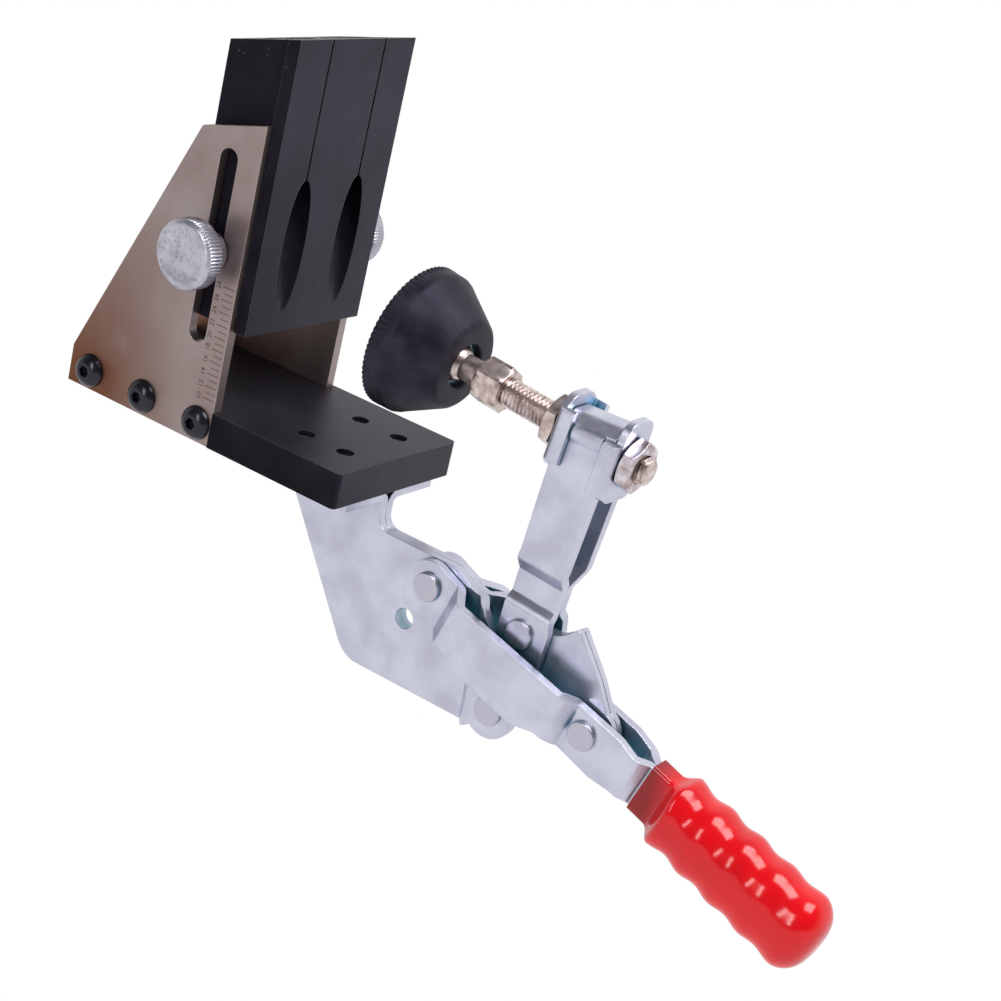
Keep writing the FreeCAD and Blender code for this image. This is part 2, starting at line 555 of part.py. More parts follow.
def grip_section(along):
    """Closed outline of the grip at a distance along the handle: flat at its neck, oval beyond."""
    past_neck = (along - GRIP_START - GRIP_NECK_LENGTH) / GRIP_SHOULDER
    past_neck = min(1.0, max(0.0, past_neck))
    swell = past_neck * past_neck * (3 - 2 * past_neck)
    end = max(0.0, (along - GRIP_END + GRIP_END_ROUND) / GRIP_END_ROUND)
    round_off = (1 - end ** 2.6) ** (1 / 2.6)
    from_crest = along - GRIP_FIRST_CREST
    wave = (GRIP_WAVE - GRIP_WAVE_FADE * from_crest) * math.cos(2 * math.pi * from_crest / GRIP_WAVE_LENGTH)
    wide = (GRIP_HALF_WIDTH + GRIP_FLARE * from_crest + wave) * round_off
    deep = (GRIP_HALF_DEPTH + wave * 0.7) * round_off
    wide = GRIP_NECK_HALF_WIDTH + (wide - GRIP_NECK_HALF_WIDTH) * swell
    deep = GRIP_NECK_HALF_DEPTH + (deep - GRIP_NECK_HALF_DEPTH) * swell
    power = 2 / (8.0 - 5.7 * swell)
    middle = GRIP_ACROSS - GRIP_DROOP * from_crest
    points = []
    for step in range(28):
        angle = 2 * math.pi * (step + 0.5) / 28
        c, s = math.cos(angle), math.sin(angle)
        points.append(Vector(along, deep * math.copysign(abs(s) ** power, s),
                             middle + wide * math.copysign(abs(c) ** power, c)))
    curve = Part.BSplineCurve()
    curve.interpolate(points, PeriodicFlag=True)
    return Part.Wire([curve.toShape()])


def grip():
    """Moulded sleeve over the handle's tang, waved where the fingers lie."""
    length = GRIP_END - GRIP_START
    steps = [GRIP_START + length * n / 34 for n in range(31)]
    steps += [GRIP_END - GRIP_END_ROUND * part for part in (0.55, 0.32, 0.16, 0.06, 0.015)]
    sleeve = Part.makeLoft([grip_section(along) for along in steps], True, False)
    pocket = slab([(GRIP_START - 1, -9.6, 0), (TANG_END + 1.2, -8.2, 5), (TANG_END + 1.2, 2.7, 5),
                   (GRIP_START - 1, 4.3, 0)], -SHEET - 0.1, SHEET + 0.1)
    save("grip", place(sleeve.cut(pocket), PIVOT_HANDLE, -HANDLE_DIP))


def on_spindle(shape):
    """Put a piece drawn along +X from the arm's pivot line onto the spindle's axis.

    +X points away from the block. The axis is raised along the arm and tilted, pad end up.
    """
    shape.rotate(Vector(0, 0, 0), ALONG_Y, SPINDLE_TILT)
    shape.translate(Vector(0, 0, SPINDLE_ALONG))
    return place(shape, PIVOT_ARM, -ARM_LEAN)


def slot_washer(face, toward, wrap, outline):
    """Washer bent from a flat blank over one edge of the arm, so that two wings grip its legs.

    The face and the side it looks to are given across the arm; the outline's (y, z) corners are
    those of the blank seen along the spindle.
    """
    flat = face + toward * GAP
    outside = flat + toward * WASHER_THICKNESS
    tip = flat - toward * wrap
    inside = ARM_LEG_Y + SHEET + GAP
    side = WASHER_HALF_WIDTH
    section = [(tip, -side, 0), (outside, -side, WASHER_BEND), (outside, side, WASHER_BEND), (tip, side, 0),
               (tip, inside, 0), (flat, inside, GAP), (flat, -inside, GAP), (tip, -inside, 0)]
    bent = Part.Face(rounded_wire(section)).extrude(Vector(0, 0, 40))
    bent.translate(Vector(0, 0, -20))
    blank = Part.Face(rounded_wire(outline)).extrude(Vector(0, 0, 60))
    blank.rotate(Vector(0, 0, 0), Vector(1, 1, 1), 120)
    blank.translate(Vector(-30, 0, 0))
    return bent.common(blank).cut(Part.makeCylinder(WASHER_BORE, 60, Vector(-30, 0, 0), ALONG_X))


def front_blank():
    """Outline of the front washer: a disc whose middle runs out sideways into the wings."""
    radius, wing = FRONT_WASHER_RADIUS, FRONT_WING
    reach = math.sqrt(radius ** 2 - wing ** 2)
    corner = radius * 0.62
    return [(-12, -wing, 0), (-reach, -wing, 2), (-corner * 0.6, -radius, 5), (corner * 0.6, -radius, 5),
            (reach, -wing, 2), (12, -wing, 0), (12, wing, 0), (reach, wing, 2), (corner * 0.6, radius, 5),
            (-corner * 0.6, radius, 5), (-reach, wing, 2), (-12, wing, 0)]


def back_blank():
    """Outline of the back washer: wings set low, and a rounded ear above them."""
    low, high, bottom, top, ear = -9.2, 4.8, -11.3, 11.5, 6.5
    return [(-12, low, 0), (-8.0, low, 3), (-4.6, bottom, 5), (4.6, bottom, 5), (8.0, low, 3), (12, low, 0),
            (12, high, 0), (ear, high, 2), (ear, top, 4.5), (-ear, top, 4.5), (-ear, high, 2),
            (-12, high, 0)]


def spindle_parts():
    """Threaded spindle with its ball end, the washers and the nuts that fix it to the arm."""
    front = ARM_FACE_FRONT - GAP - WASHER_THICKNESS
    back = ARM_FACE_BACK + GAP + WASHER_THICKNESS
    save("slot_washer_front", on_spindle(slot_washer(ARM_FACE_FRONT, -1, FRONT_WRAP, front_blank())))
    save("slot_washer_back", on_spindle(slot_washer(ARM_FACE_BACK, 1, BACK_WRAP, back_blank())))
    bore = Part.makeCylinder(NUT_BORE, 200, Vector(-100, 0, 0), ALONG_X)
    save("lock_nut", on_spindle(hex_prism(NUT_FLATS, front - NUT_HEIGHT, front).cut(bore)))
    save("end_nut", on_spindle(hex_prism(NUT_FLATS, back, back + NUT_HEIGHT).cut(bore)))
    thread = Part.makeCylinder(THREAD_RADIUS, STUD_END - STUD_HEX[1], Vector(STUD_HEX[1], 0, 0), ALONG_X)
    thread = thread.makeChamfer(0.8, [edge for edge in thread.Edges
                                      if abs(edge.CenterOfMass.x - STUD_END) < 1e-6 and edge.Length > 20])
    neck = Part.makeCylinder(STUD_NECK_RADIUS, STUD_HEX[0] - BALL_AT, Vector(BALL_AT, 0, 0), ALONG_X)
    ball = Part.makeSphere(BALL_RADIUS, Vector(BALL_AT, 0, 0))
    save("spindle_stud", on_spindle(ball.fuse([neck, hex_prism(STUD_HEX_FLATS, *STUD_HEX), thread])))


def foot_profile(points):
    """Solid of revolution about the spindle from (toward the block, radius) points."""
    ring = [Vector(BALL_AT - along, radius, 0) for along, radius in points]
    face = Part.Face(Part.makePolygon(ring + ring[:1]))
    return face.revolve(Vector(0, 0, 0), ALONG_X, 360)


def swivel_foot():
    """Rubber pad and the pressed cup in it, both turning on the spindle's ball."""
    centre = Vector(BALL_AT, 0, 0)
    behind = Part.makeBox(60, 60, 60, Vector(BALL_AT + CUP_CUT, -30, -30))
    cup = Part.makeSphere(CUP_RADIUS, centre).cut([Part.makeSphere(BALL_RADIUS + BALL_CLEARANCE, centre),
                                                   behind])
    save("ball_cup", on_spindle(cup))
    band = PAD_FACE - PAD_BAND
    pad = foot_profile([(PAD_REAR, 0), (PAD_REAR, PAD_REAR_RADIUS), PAD_CONE_END,
                        (band - 0.9, PAD_BAND_RADIUS - 0.5), (band, PAD_BAND_RADIUS),
                        (PAD_FACE - 0.8, PAD_RIM_RADIUS), (PAD_FACE, PAD_RIM_RADIUS - 0.8), (PAD_FACE, 0)])
    cavity = Part.makeSphere(CUP_RADIUS + BALL_CLEARANCE, centre)
    opening = foot_profile([(PAD_REAR - 1, 0), (PAD_REAR - 1, FOOT_OPENING), (0, FOOT_OPENING), (0, 0)])
    save("pressure_pad", on_spindle(pad.cut([cavity, opening])))


def main():
    """Build every piece of the jig."""
    os.makedirs("parts", exist_ok=True)
    base_plate()
    side_plates()
    plate_screws()
    guide_block()
    thumb_screws()
    clamp_frame()
    frame_screws()
    arm_bar()
    links()
    handle()
    grip()
    spindle_parts()
    swivel_foot()


main()
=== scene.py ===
"""Looks of a pocket-hole drilling jig with a toggle clamp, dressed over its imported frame.

Lengths in this file are millimetres unless a comment says otherwise; meshes are made in metres.
The row frame: +X runs from the guide block toward the clamp, +Y across the jig, +Z up.
"""
import enum
import json
import logging
import math
from dataclasses import dataclass
from typing import Callable, Sequence

import bmesh
import bpy
from mathutils import Matrix, Vector


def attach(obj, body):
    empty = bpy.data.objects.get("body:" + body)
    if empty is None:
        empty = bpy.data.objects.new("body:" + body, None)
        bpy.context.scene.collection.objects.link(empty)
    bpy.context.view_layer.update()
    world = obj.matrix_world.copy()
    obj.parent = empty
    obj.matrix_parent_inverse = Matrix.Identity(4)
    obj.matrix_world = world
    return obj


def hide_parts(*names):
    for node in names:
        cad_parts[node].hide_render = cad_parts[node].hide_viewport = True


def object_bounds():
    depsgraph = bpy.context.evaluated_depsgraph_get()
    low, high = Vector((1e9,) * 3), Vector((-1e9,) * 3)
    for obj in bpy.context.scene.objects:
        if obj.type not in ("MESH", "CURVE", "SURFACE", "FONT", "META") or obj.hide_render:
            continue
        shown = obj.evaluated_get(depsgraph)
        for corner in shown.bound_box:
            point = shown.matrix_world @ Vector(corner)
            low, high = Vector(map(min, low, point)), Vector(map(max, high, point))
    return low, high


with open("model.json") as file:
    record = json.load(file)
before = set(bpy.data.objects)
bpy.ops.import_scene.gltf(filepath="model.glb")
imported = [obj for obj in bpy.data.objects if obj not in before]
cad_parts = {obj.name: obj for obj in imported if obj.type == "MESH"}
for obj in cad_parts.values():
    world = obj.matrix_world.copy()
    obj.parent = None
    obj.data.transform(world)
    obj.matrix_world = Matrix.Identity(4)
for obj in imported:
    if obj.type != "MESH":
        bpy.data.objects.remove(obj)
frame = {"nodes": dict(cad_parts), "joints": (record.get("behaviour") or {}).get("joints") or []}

Tree = bpy.types.NodeTree
Socket = bpy.types.NodeSocket
Colour = tuple[float, float, float, float]
Span = tuple[float, float]

LOG = logging.getLogger("jig")
MM = 0.001
CAD_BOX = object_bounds()
JOINTS = {joint["name"]: joint for joint in frame["joints"]}
WHITE = (1.0, 1.0, 1.0, 1.0)


class Side(enum.Enum):
    """The jig's two long sides, each with the sign of its Y."""

    NEAR = -1
    FAR = 1

    @property
    def label(self) -> str:
        """The side's name, as the nodes spell it."""
        return self.name.lower()


# ---------------------------------------------------------------- small helpers

def linear(code: str) -> Colour:
    """Turn an sRGB hex colour into linear RGBA.

    Args:
        code: Six hex digits.

    Returns:
        Linear red, green, blue and an alpha of 1.
    """
    parts = [int(code[i:i + 2], 16) / 255 for i in (0, 2, 4)]
    made = [p / 12.92 if p <= 0.04045 else ((p + 0.055) / 1.055) ** 2.4 for p in parts]
    return (*made, 1.0)


def per_mm(size: float) -> float:
    """Texture scale that gives a pattern about this many millimetres a repeat."""
    return 1 / (size * MM)


def add_node(tree: Tree, kind: str, inputs: dict | None = None, **settings) -> bpy.types.Node:
    """Add a shader node with its settings, values and links.

    Args:
        tree: The node tree that gets the node.
        kind: Blender's name of the node type, without the leading "ShaderNode".
        inputs: Values or output sockets by input name or number.
        **settings: Attributes set on the node.

    Returns:
        The new node.
    """
    node = tree.nodes.new("ShaderNode" + kind)
    for name, value in settings.items():
        setattr(node, name, value)
    for key, value in (inputs or {}).items():
        if isinstance(value, Socket):
            tree.links.new(value, node.inputs[key])
        else:
            node.inputs[key].default_value = value
    return node


def two_tone(tree: Tree, value: Socket, span: Span, first: Socket | Colour,
             second: Socket | Colour) -> Socket:
    """One colour that turns softly into another where a pattern passes through a span.

    Args:
        tree: The node tree.
        value: The pattern.
        span: The pattern's values at which the second colour starts and is full.
        first: Colour before the span.
        second: Colour past the span.

    Returns:
        The colour.
    """
    share = add_node(tree, "MapRange", {0: value, 1: span[0], 2: span[1]},
                     interpolation_type="SMOOTHSTEP").outputs[0]
    return add_node(tree, "Mix", {"Factor": share, 6: first, 7: second}, data_type="RGBA").outputs[2]


# ---------------------------------------------------------------- finishes

@dataclass(frozen=True)
class Pattern:
    """A cloudy pattern in a finish: the size of one cloud, its octaves and its stretch by axis."""

    size: float
    detail: float
    stretch: tuple[float, float, float] = (1, 1, 1)


@dataclass(frozen=True)
class Finish:
    """What every finish shares: a name, a colour, a gloss, a fine relief, and softened edges with wear and
    a painted highlight.
    """

    name: str
    color: str
    metallic: float = 0.0
    roughness: float = 0.4
    edge_radius: float = 0.25
    # Lighter edges: partly real wear, partly a painted highlight.
    edge_wear_and_highlight_color: str = "FFFFFF"
    edge_wear_and_highlight: float = 0.0
    edge_span: Span = (0.985, 0.86)
    gloss_spread: Span = (0.0, 0.0)
    relief: float = 0.02
    relief_share: float = 0.5

    def coordinates(self, tree: Tree, stretch: Sequence[float] = (1, 1, 1)) -> Socket:
        """Object coordinates, stretched for patterns that run one way.

        Args:
            tree: The node tree.
            stretch: Scale along X, Y and Z.

        Returns:
            The coordinate socket.
        """
        source = add_node(tree, "TexCoord").outputs["Object"]
        return add_node(tree, "Mapping", {"Vector": source, "Scale": stretch}).outputs[0]

    def noise(self, tree: Tree, pattern: Pattern) -> Socket:
        """Cloudy variation over the surface.

        Args:
            tree: The node tree.
            pattern: Size, detail and stretch of the clouds.

        Returns:
            A value around 0.5.
        """
        where = self.coordinates(tree, pattern.stretch)
        return add_node(tree, "TexNoise", {"Vector": where, "Scale": per_mm(pattern.size),
                                           "Detail": pattern.detail}).outputs["Fac"]

    def skin(self, tree: Tree, normal: Socket, raised: Socket, dulled: Socket | None = None) -> dict:
        """Fine relief of the surface, and the gloss that varies with it.

        Args:
            tree: The node tree.
            normal: Rounded surface normal.
            raised: Pattern that stands up from the surface.
            dulled: Pattern that varies the gloss, or None where the gloss is even.

        Returns:
            The shader's roughness and normal.
        """
        gloss = self.roughness
        if dulled is not None:
            below, above = self.gloss_spread
            gloss = add_node(tree, "MapRange", {0: dulled, 3: self.roughness + below,
                                                4: self.roughness + above}).outputs[0]
        relief = add_node(tree, "Bump", {"Height": raised, "Distance": self.relief * MM,
                                         "Normal": normal, "Strength": self.relief_share})
        return {"Roughness": gloss, "Normal": relief.outputs[0]}

    def edges(self, tree: Tree) -> tuple[Socket, Socket]:
        """Rounded normal near sharp edges, and how much it departs from the flat one.

        Args:
            tree: The node tree.

        Returns:
            The rounded normal, and a mask that is 1 on edges.
        """
        rounded = add_node(tree, "Bevel", {"Radius": self.edge_radius * MM}, samples=6).outputs[0]
        flat = add_node(tree, "NewGeometry").outputs["Normal"]
        dot = add_node(tree, "VectorMath", {0: rounded, 1: flat},
                       operation="DOT_PRODUCT").outputs["Value"]
        mask = add_node(tree, "MapRange", {0: dot, 1: self.edge_span[0], 2: self.edge_span[1]},
                        interpolation_type="SMOOTHSTEP")
        return rounded, mask.outputs[0]

    def shade(self, tree: Tree, normal: Socket) -> dict:
        """Sockets and values that differ between finishes.

        Args:
            tree: The node tree.
            normal: Rounded surface normal.

        Returns:
            Inputs for the surface shader.
        """
        raise NotImplementedError(self.name)

    def material(self) -> bpy.types.Material:
        """The finish as a material, made once.

        Returns:
            The material.
        """
        made = bpy.data.materials.get(self.name)
        if made:
            return made
        made = bpy.data.materials.new(self.name)
        made.use_nodes = True
        tree = made.node_tree
        tree.nodes.clear()
        normal, edges = self.edges(tree)
        inputs = {"Metallic": self.metallic, **self.shade(tree, normal)}
        # Lighter edges: partly real wear, partly a painted highlight on rims and corners.
        if self.edge_wear_and_highlight > 0:
            worn = add_node(tree, "Math", {0: edges, 1: self.edge_wear_and_highlight}, operation="MULTIPLY").outputs[0]
            inputs["Base Color"] = add_node(
                tree, "Mix", {"Factor": worn, 6: inputs["Base Color"], 7: linear(self.edge_wear_and_highlight_color)},
                data_type="RGBA").outputs[2]
        surface = add_node(tree, "BsdfPrincipled", inputs)
        add_node(tree, "OutputMaterial", {"Surface": surface.outputs[0]})
        return made

    def dress(self, *objects: bpy.types.Object) -> None:
        """Give the finish to objects.

        Args:
            *objects: Pieces that wear it.
        """
        for item in objects:
            item.data.materials.clear()
            item.data.materials.append(self.material())


@dataclass(frozen=True)
class BlackAnodisedAluminium(Finish):
    """Milled aluminium, bead blasted and dyed black: a dull satin with pale dust, and bright nicks that are
    partly a painted edge highlight.
    """

    gloss_spread: Span = (-0.06, 0.1)
    relief: float = 0.02
    relief_share: float = 0.6
    clouds: Pattern = Pattern(24.0, 3.0)
    cloud_span: Span = (0.3, 0.75)
    haze: str = "232029"
    dust: float = 0.25
    dust_color: str = "B9B4B8"
    fleck_spacing: float = 1.6
    fleck_span: Span = (0.16, 0.06)
    dusty: Pattern = Pattern(6.0, 2.0)
    dusty_span: Span = (0.5, 0.72)
    # The beads' dimples are about 0.1 mm, drawn coarser so that they show.
    dimples: Pattern = Pattern(0.35, 2.0)
    sheen: str = "C6BCE6"
    # Specular levels as a painted shade: the first on most faces, the second on faces toward the jig's
    # sides.
    blasted: float = 0.46
    painted_shade_side_level: float = 0.07

    def shade(self, tree: Tree, normal: Socket) -> dict:
        """Dark dye, grey dust and blasted dimples; a painted shade dims the faces toward the jig's sides.

        Args:
            tree: The node tree.
            normal: Rounded surface normal.

        Returns:
            Inputs for the surface shader.
        """
        color = two_tone(tree, self.noise(tree, self.clouds), self.cloud_span,
                         linear(self.color), linear(self.haze))
        flecks = add_node(tree, "TexVoronoi", {"Vector": self.coordinates(tree),
                                               "Scale": per_mm(self.fleck_spacing)}).outputs["Distance"]
        share = self.dust
        for value, span in ((flecks, self.fleck_span), (self.noise(tree, self.dusty), self.dusty_span)):
            part = add_node(tree, "MapRange", {0: value, 1: span[0], 2: span[1]},
                            interpolation_type="SMOOTHSTEP").outputs[0]
            share = add_node(tree, "Math", {0: part, 1: share}, operation="MULTIPLY").outputs[0]
        dusted = add_node(tree, "Mix", {"Factor": share, 6: color, 7: linear(self.dust_color)},
                          data_type="RGBA").outputs[2]
        # Painted shade: the specular level drops on faces toward the jig's sides.
        facing = add_node(tree, "SeparateXYZ", {0: add_node(tree, "TexCoord").outputs["Normal"]})
        sideways = add_node(tree, "Math", {0: facing.outputs["Y"]}, operation="ABSOLUTE").outputs[0]
        level = add_node(tree, "MapRange", {0: sideways, 3: self.blasted, 4: self.painted_shade_side_level}).outputs[0]
        dimples = self.noise(tree, self.dimples)
        return {"Base Color": dusted, "Specular IOR Level": level, "Specular Tint": linear(self.sheen),
                **self.skin(tree, normal, dimples, dimples)}


@dataclass(frozen=True)
class BrushedStainless(Finish):
    """Rolled stainless sheet, brushed along its length: warm grey, with a painted brown reflection toward
    the lower rear corner.
    """

    gloss_spread: Span = (-0.05, 0.08)
    relief: float = 0.012
    relief_share: float = 0.35
    pale: str = "A09491"
    # Colour of a painted reflection of brown surroundings.
    warm: str = "70452F"
    # Metres in the row frame: where the painted brown reflection starts and where it is full.
    painted_reflection_down: Span = (0.05, -0.004)
    painted_reflection_back: Span = (-0.014, -0.044)
    clouds: Pattern = Pattern(14.0, 4.0)
    cloud_span: Span = (0.2, 0.8)
    # Cloud values over which the painted reflection breaks into blotches.
    painted_reflection_span: Span = (-0.1, 0.5)
    # Brush lines are about 0.05 mm wide, drawn coarser so that they show.
    brushing: Pattern = Pattern(0.5, 3.0, (0.25, 1.0, 6.0))

    def shade(self, tree: Tree, normal: Socket) -> dict:
        """Warm gradient of painted brown reflection in cloudy blotches, and fine brushed lines.

        Args:
            tree: The node tree.
            normal: Rounded surface normal.

        Returns:
            Inputs for the surface shader.
        """
        where = add_node(tree, "SeparateXYZ", {0: self.coordinates(tree)})
        low, rear = (add_node(tree, "MapRange", {0: where.outputs[axis], 1: span[0], 2: span[1]}).outputs[0]
                     for axis, span in (("Z", self.painted_reflection_down), ("X", self.painted_reflection_back)))
        # Painted reflection: brown toward the lower rear corner, broken into cloudy blotches.
        corner = add_node(tree, "Math", {0: low, 1: rear}, operation="MULTIPLY").outputs[0]
        clouds = self.noise(tree, self.clouds)
        blotches = add_node(tree, "MapRange", {0: clouds, 1: self.painted_reflection_span[0], 2: self.painted_reflection_span[1]},
                            interpolation_type="SMOOTHSTEP").outputs[0]
        painted_reflection = add_node(tree, "Math", {0: corner, 1: blotches}, operation="MULTIPLY").outputs[0]
        color = two_tone(tree, clouds, self.cloud_span, linear(self.color), linear(self.pale))
        color = add_node(tree, "Mix", {"Factor": painted_reflection, 6: color, 7: linear(self.warm)},
                         data_type="RGBA").outputs[2]
        lines = self.noise(tree, self.brushing)
        return {"Base Color": color, **self.skin(tree, normal, lines, lines)}


@dataclass(frozen=True)
class ZincPlatedSteel(Finish):
    """Bright zinc with a clear blue passivation: pale lavender grey, with a painted blue-green shade in its
    hollows.
    """

    gloss_spread: Span = (-0.07, 0.12)
    relief: float = 0.02
    relief_share: float = 0.35
    dull: str = "BABACC"
    clouds: Pattern = Pattern(9.0, 5.0)
    cloud_span: Span = (0.25, 0.75)
    # Painted blue-green shade in hollows: its colour, its reach in millimetres and its span.
    painted_shade: str = "6C9FB0"
    painted_shade_reach: float = 12.0
    painted_shade_span: Span = (0.62, 0.22)
    mottle: Pattern = Pattern(1.6, 4.0)

    def shade(self, tree: Tree, normal: Socket) -> dict:
        """Cloudy pale plating with a painted blue-green shade where little light gets in.

        Args:
            tree: The node tree.
            normal: Rounded surface normal.

        Returns:
            Inputs for the surface shader.
        """
        color = two_tone(tree, self.noise(tree, self.clouds), self.cloud_span,
                         linear(self.color), linear(self.dull))
        # Painted shade from ambient occlusion, mixed into the colour.
        light = add_node(tree, "AmbientOcclusion", {"Distance": self.painted_shade_reach * MM},
                         samples=8).outputs["AO"]
        mottle = self.noise(tree, self.mottle)
        return {"Base Color": two_tone(tree, light, self.painted_shade_span, color, linear(self.painted_shade)),
                **self.skin(tree, normal, mottle, mottle)}


@dataclass(frozen=True)
class BlackOxideSteel(Finish):
    """Oil-blackened screws: blue-black, still glossy enough for sharp highlights."""

    relief: float = 0.01
    relief_share: float = 0.3
    mottled: str = "34343A"
    mottle: Pattern = Pattern(2.0, 3.0)

    def shade(self, tree: Tree, normal: Socket) -> dict:
        """Even dark skin with a faint blue mottle.

        Args:
            tree: The node tree.
            normal: Rounded surface normal.

        Returns:
            Inputs for the surface shader.
        """
        mottle = self.noise(tree, self.mottle)
        color = add_node(tree, "Mix", {"Factor": mottle, 6: linear(self.color), 7: linear(self.mottled)},
                         data_type="RGBA").outputs[2]
        return {"Base Color": color, **self.skin(tree, normal, mottle)}


@dataclass(frozen=True)
class WarmNickelPlate(Finish):
    """Nickel-plated thread and nuts: a warm pinkish silver, with a painted brown shade in the roots."""

    relief: float = 0.015
    relief_share: float = 0.4
    dull: str = "9A8580"
    clouds: Pattern = Pattern(3.0, 4.0)
    cloud_span: Span = (0.25, 0.75)
    # Painted shade in grooves and thread roots: its colour, its reach in millimetres and its span.
    painted_groove_shade: str = "5C463D"
    painted_groove_shade_reach: float = 1.2
    painted_groove_shade_span: Span = (0.7, 0.25)

    def shade(self, tree: Tree, normal: Socket) -> dict:
        """Pinkish plating, with a painted brown shade in its grooves.

        Args:
            tree: The node tree.
            normal: Rounded surface normal.

        Returns:
            Inputs for the surface shader.
        """
        clouds = self.noise(tree, self.clouds)
        color = two_tone(tree, clouds, self.cloud_span, linear(self.color), linear(self.dull))
        # Painted shade from ambient occlusion, mixed into the colour.
        light = add_node(tree, "AmbientOcclusion", {"Distance": self.painted_groove_shade_reach * MM},
                         samples=8).outputs["AO"]
        return {"Base Color": two_tone(tree, light, self.painted_groove_shade_span, color, linear(self.painted_groove_shade)),
                **self.skin(tree, normal, clouds)}


@dataclass(frozen=True)
class TurnedNickel(Finish):
    """Turned and tumbled knob: pale silver with fine dents and dull patches."""

    gloss_spread: Span = (-0.08, 0.15)
    relief: float = 0.09
    relief_share: float = 0.8
    dull: str = "A5A3AF"
    patches: Pattern = Pattern(4.0, 3.0)
    patch_span: Span = (0.3, 0.8)
    dented: str = "8E8C98"
    dents: Pattern = Pattern(1.1, 5.0)
    dent_span: Span = (0.5, 0.8)

    def shade(self, tree: Tree, normal: Socket) -> dict:
        """Pale metal with a tumbled mottle.

        Args:
            tree: The node tree.
            normal: Rounded surface normal.

        Returns:
            Inputs for the surface shader.
        """
        color = two_tone(tree, self.noise(tree, self.patches), self.patch_span,
                         linear(self.color), linear(self.dull))
        dents = self.noise(tree, self.dents)
        return {"Base Color": two_tone(tree, dents, self.dent_span, color, linear(self.dented)),
                **self.skin(tree, normal, dents, dents)}


@dataclass(frozen=True)
class GlossyVinyl(Finish):
    """Dip-moulded red vinyl, thickly coated and glossy, with a painted shade that darkens its neck."""

    relief: float = 0.03
    relief_share: float = 0.4
    deep: str = "C80D18"
    clouds: Pattern = Pattern(12.0, 2.0)
    cloud_span: Span = (0.3, 0.8)
    # Colour of the painted shade on the grip's neck.
    painted_neck_shade: str = "8C0911"
    # Metres in the row frame: from where the painted shade is full to where it ends.
    painted_neck_shade_along: Span = (0.138, 0.1435)
    level: float = 0.42
    peel: Pattern = Pattern(2.4, 2.0)

    def shade(self, tree: Tree, normal: Socket) -> dict:
        """Saturated red with a gentle orange-peel surface under a clear skin, and a painted shade at the
        neck.

        Args:
            tree: The node tree.
            normal: Rounded surface normal.

        Returns:
            Inputs for the surface shader.
        """
        color = two_tone(tree, self.noise(tree, self.clouds), self.cloud_span,
                         linear(self.color), linear(self.deep))
        along = add_node(tree, "SeparateXYZ", {0: self.coordinates(tree)}).outputs["X"]
        thin, thick = self.painted_neck_shade_along
        # Painted shade: darker red at the neck, near the handle's plates.
        body = add_node(tree, "MapRange", {0: along, 1: thin, 2: thick}).outputs[0]
        color = add_node(tree, "Mix", {"Factor": body, 6: linear(self.painted_neck_shade), 7: color},
                         data_type="RGBA").outputs[2]
        return {"Base Color": color, "Specular IOR Level": self.level,
                **self.skin(tree, normal, self.noise(tree, self.peel))}


@dataclass(frozen=True)
class MouldedRubber(Finish):
    """Compression-moulded black rubber: soft grey sheen, faint flow marks and bloom."""

    gloss_spread: Span = (-0.06, 0.1)
    relief: float = 0.02
    relief_share: float = 0.5
    bloom_color: str = "302F37"
    bloom: Pattern = Pattern(7.0, 5.0)
    bloom_span: Span = (0.35, 0.8)
    level: float = 0.32
    sheen: str = "C6BCE6"
    # The mould's blasting is finer than 0.1 mm, drawn coarser so that it shows.
    grain: Pattern = Pattern(0.4, 2.0)

    def shade(self, tree: Tree, normal: Socket) -> dict:
        """Charcoal with bloom and a fine moulded grain.

        Args:
            tree: The node tree.
            normal: Rounded surface normal.

        Returns:
            Inputs for the surface shader.
        """
        bloom = self.noise(tree, self.bloom)
        return {"Base Color": two_tone(tree, bloom, self.bloom_span, linear(self.color),
                                       linear(self.bloom_color)),
                "Specular IOR Level": self.level, "Specular Tint": linear(self.sheen),
                **self.skin(tree, normal, self.noise(tree, self.grain), bloom)}


@dataclass(frozen=True)
class EngravedInk(Finish):
    """Etched marks, darkened so that they read against the steel."""

    faded: str = "6B5750"
    wear: Pattern = Pattern(0.8, 3.0)
    wear_span: Span = (0.35, 0.75)

    def shade(self, tree: Tree, normal: Socket) -> dict:
        """Dark brown etching with broken density.

        Args:
            tree: The node tree.
            normal: Rounded surface normal.

        Returns:
            Inputs for the surface shader.
        """
        return {"Base Color": two_tone(tree, self.noise(tree, self.wear), self.wear_span,
                                       linear(self.color), linear(self.faded)),
                "Roughness": self.roughness, "Normal": normal}


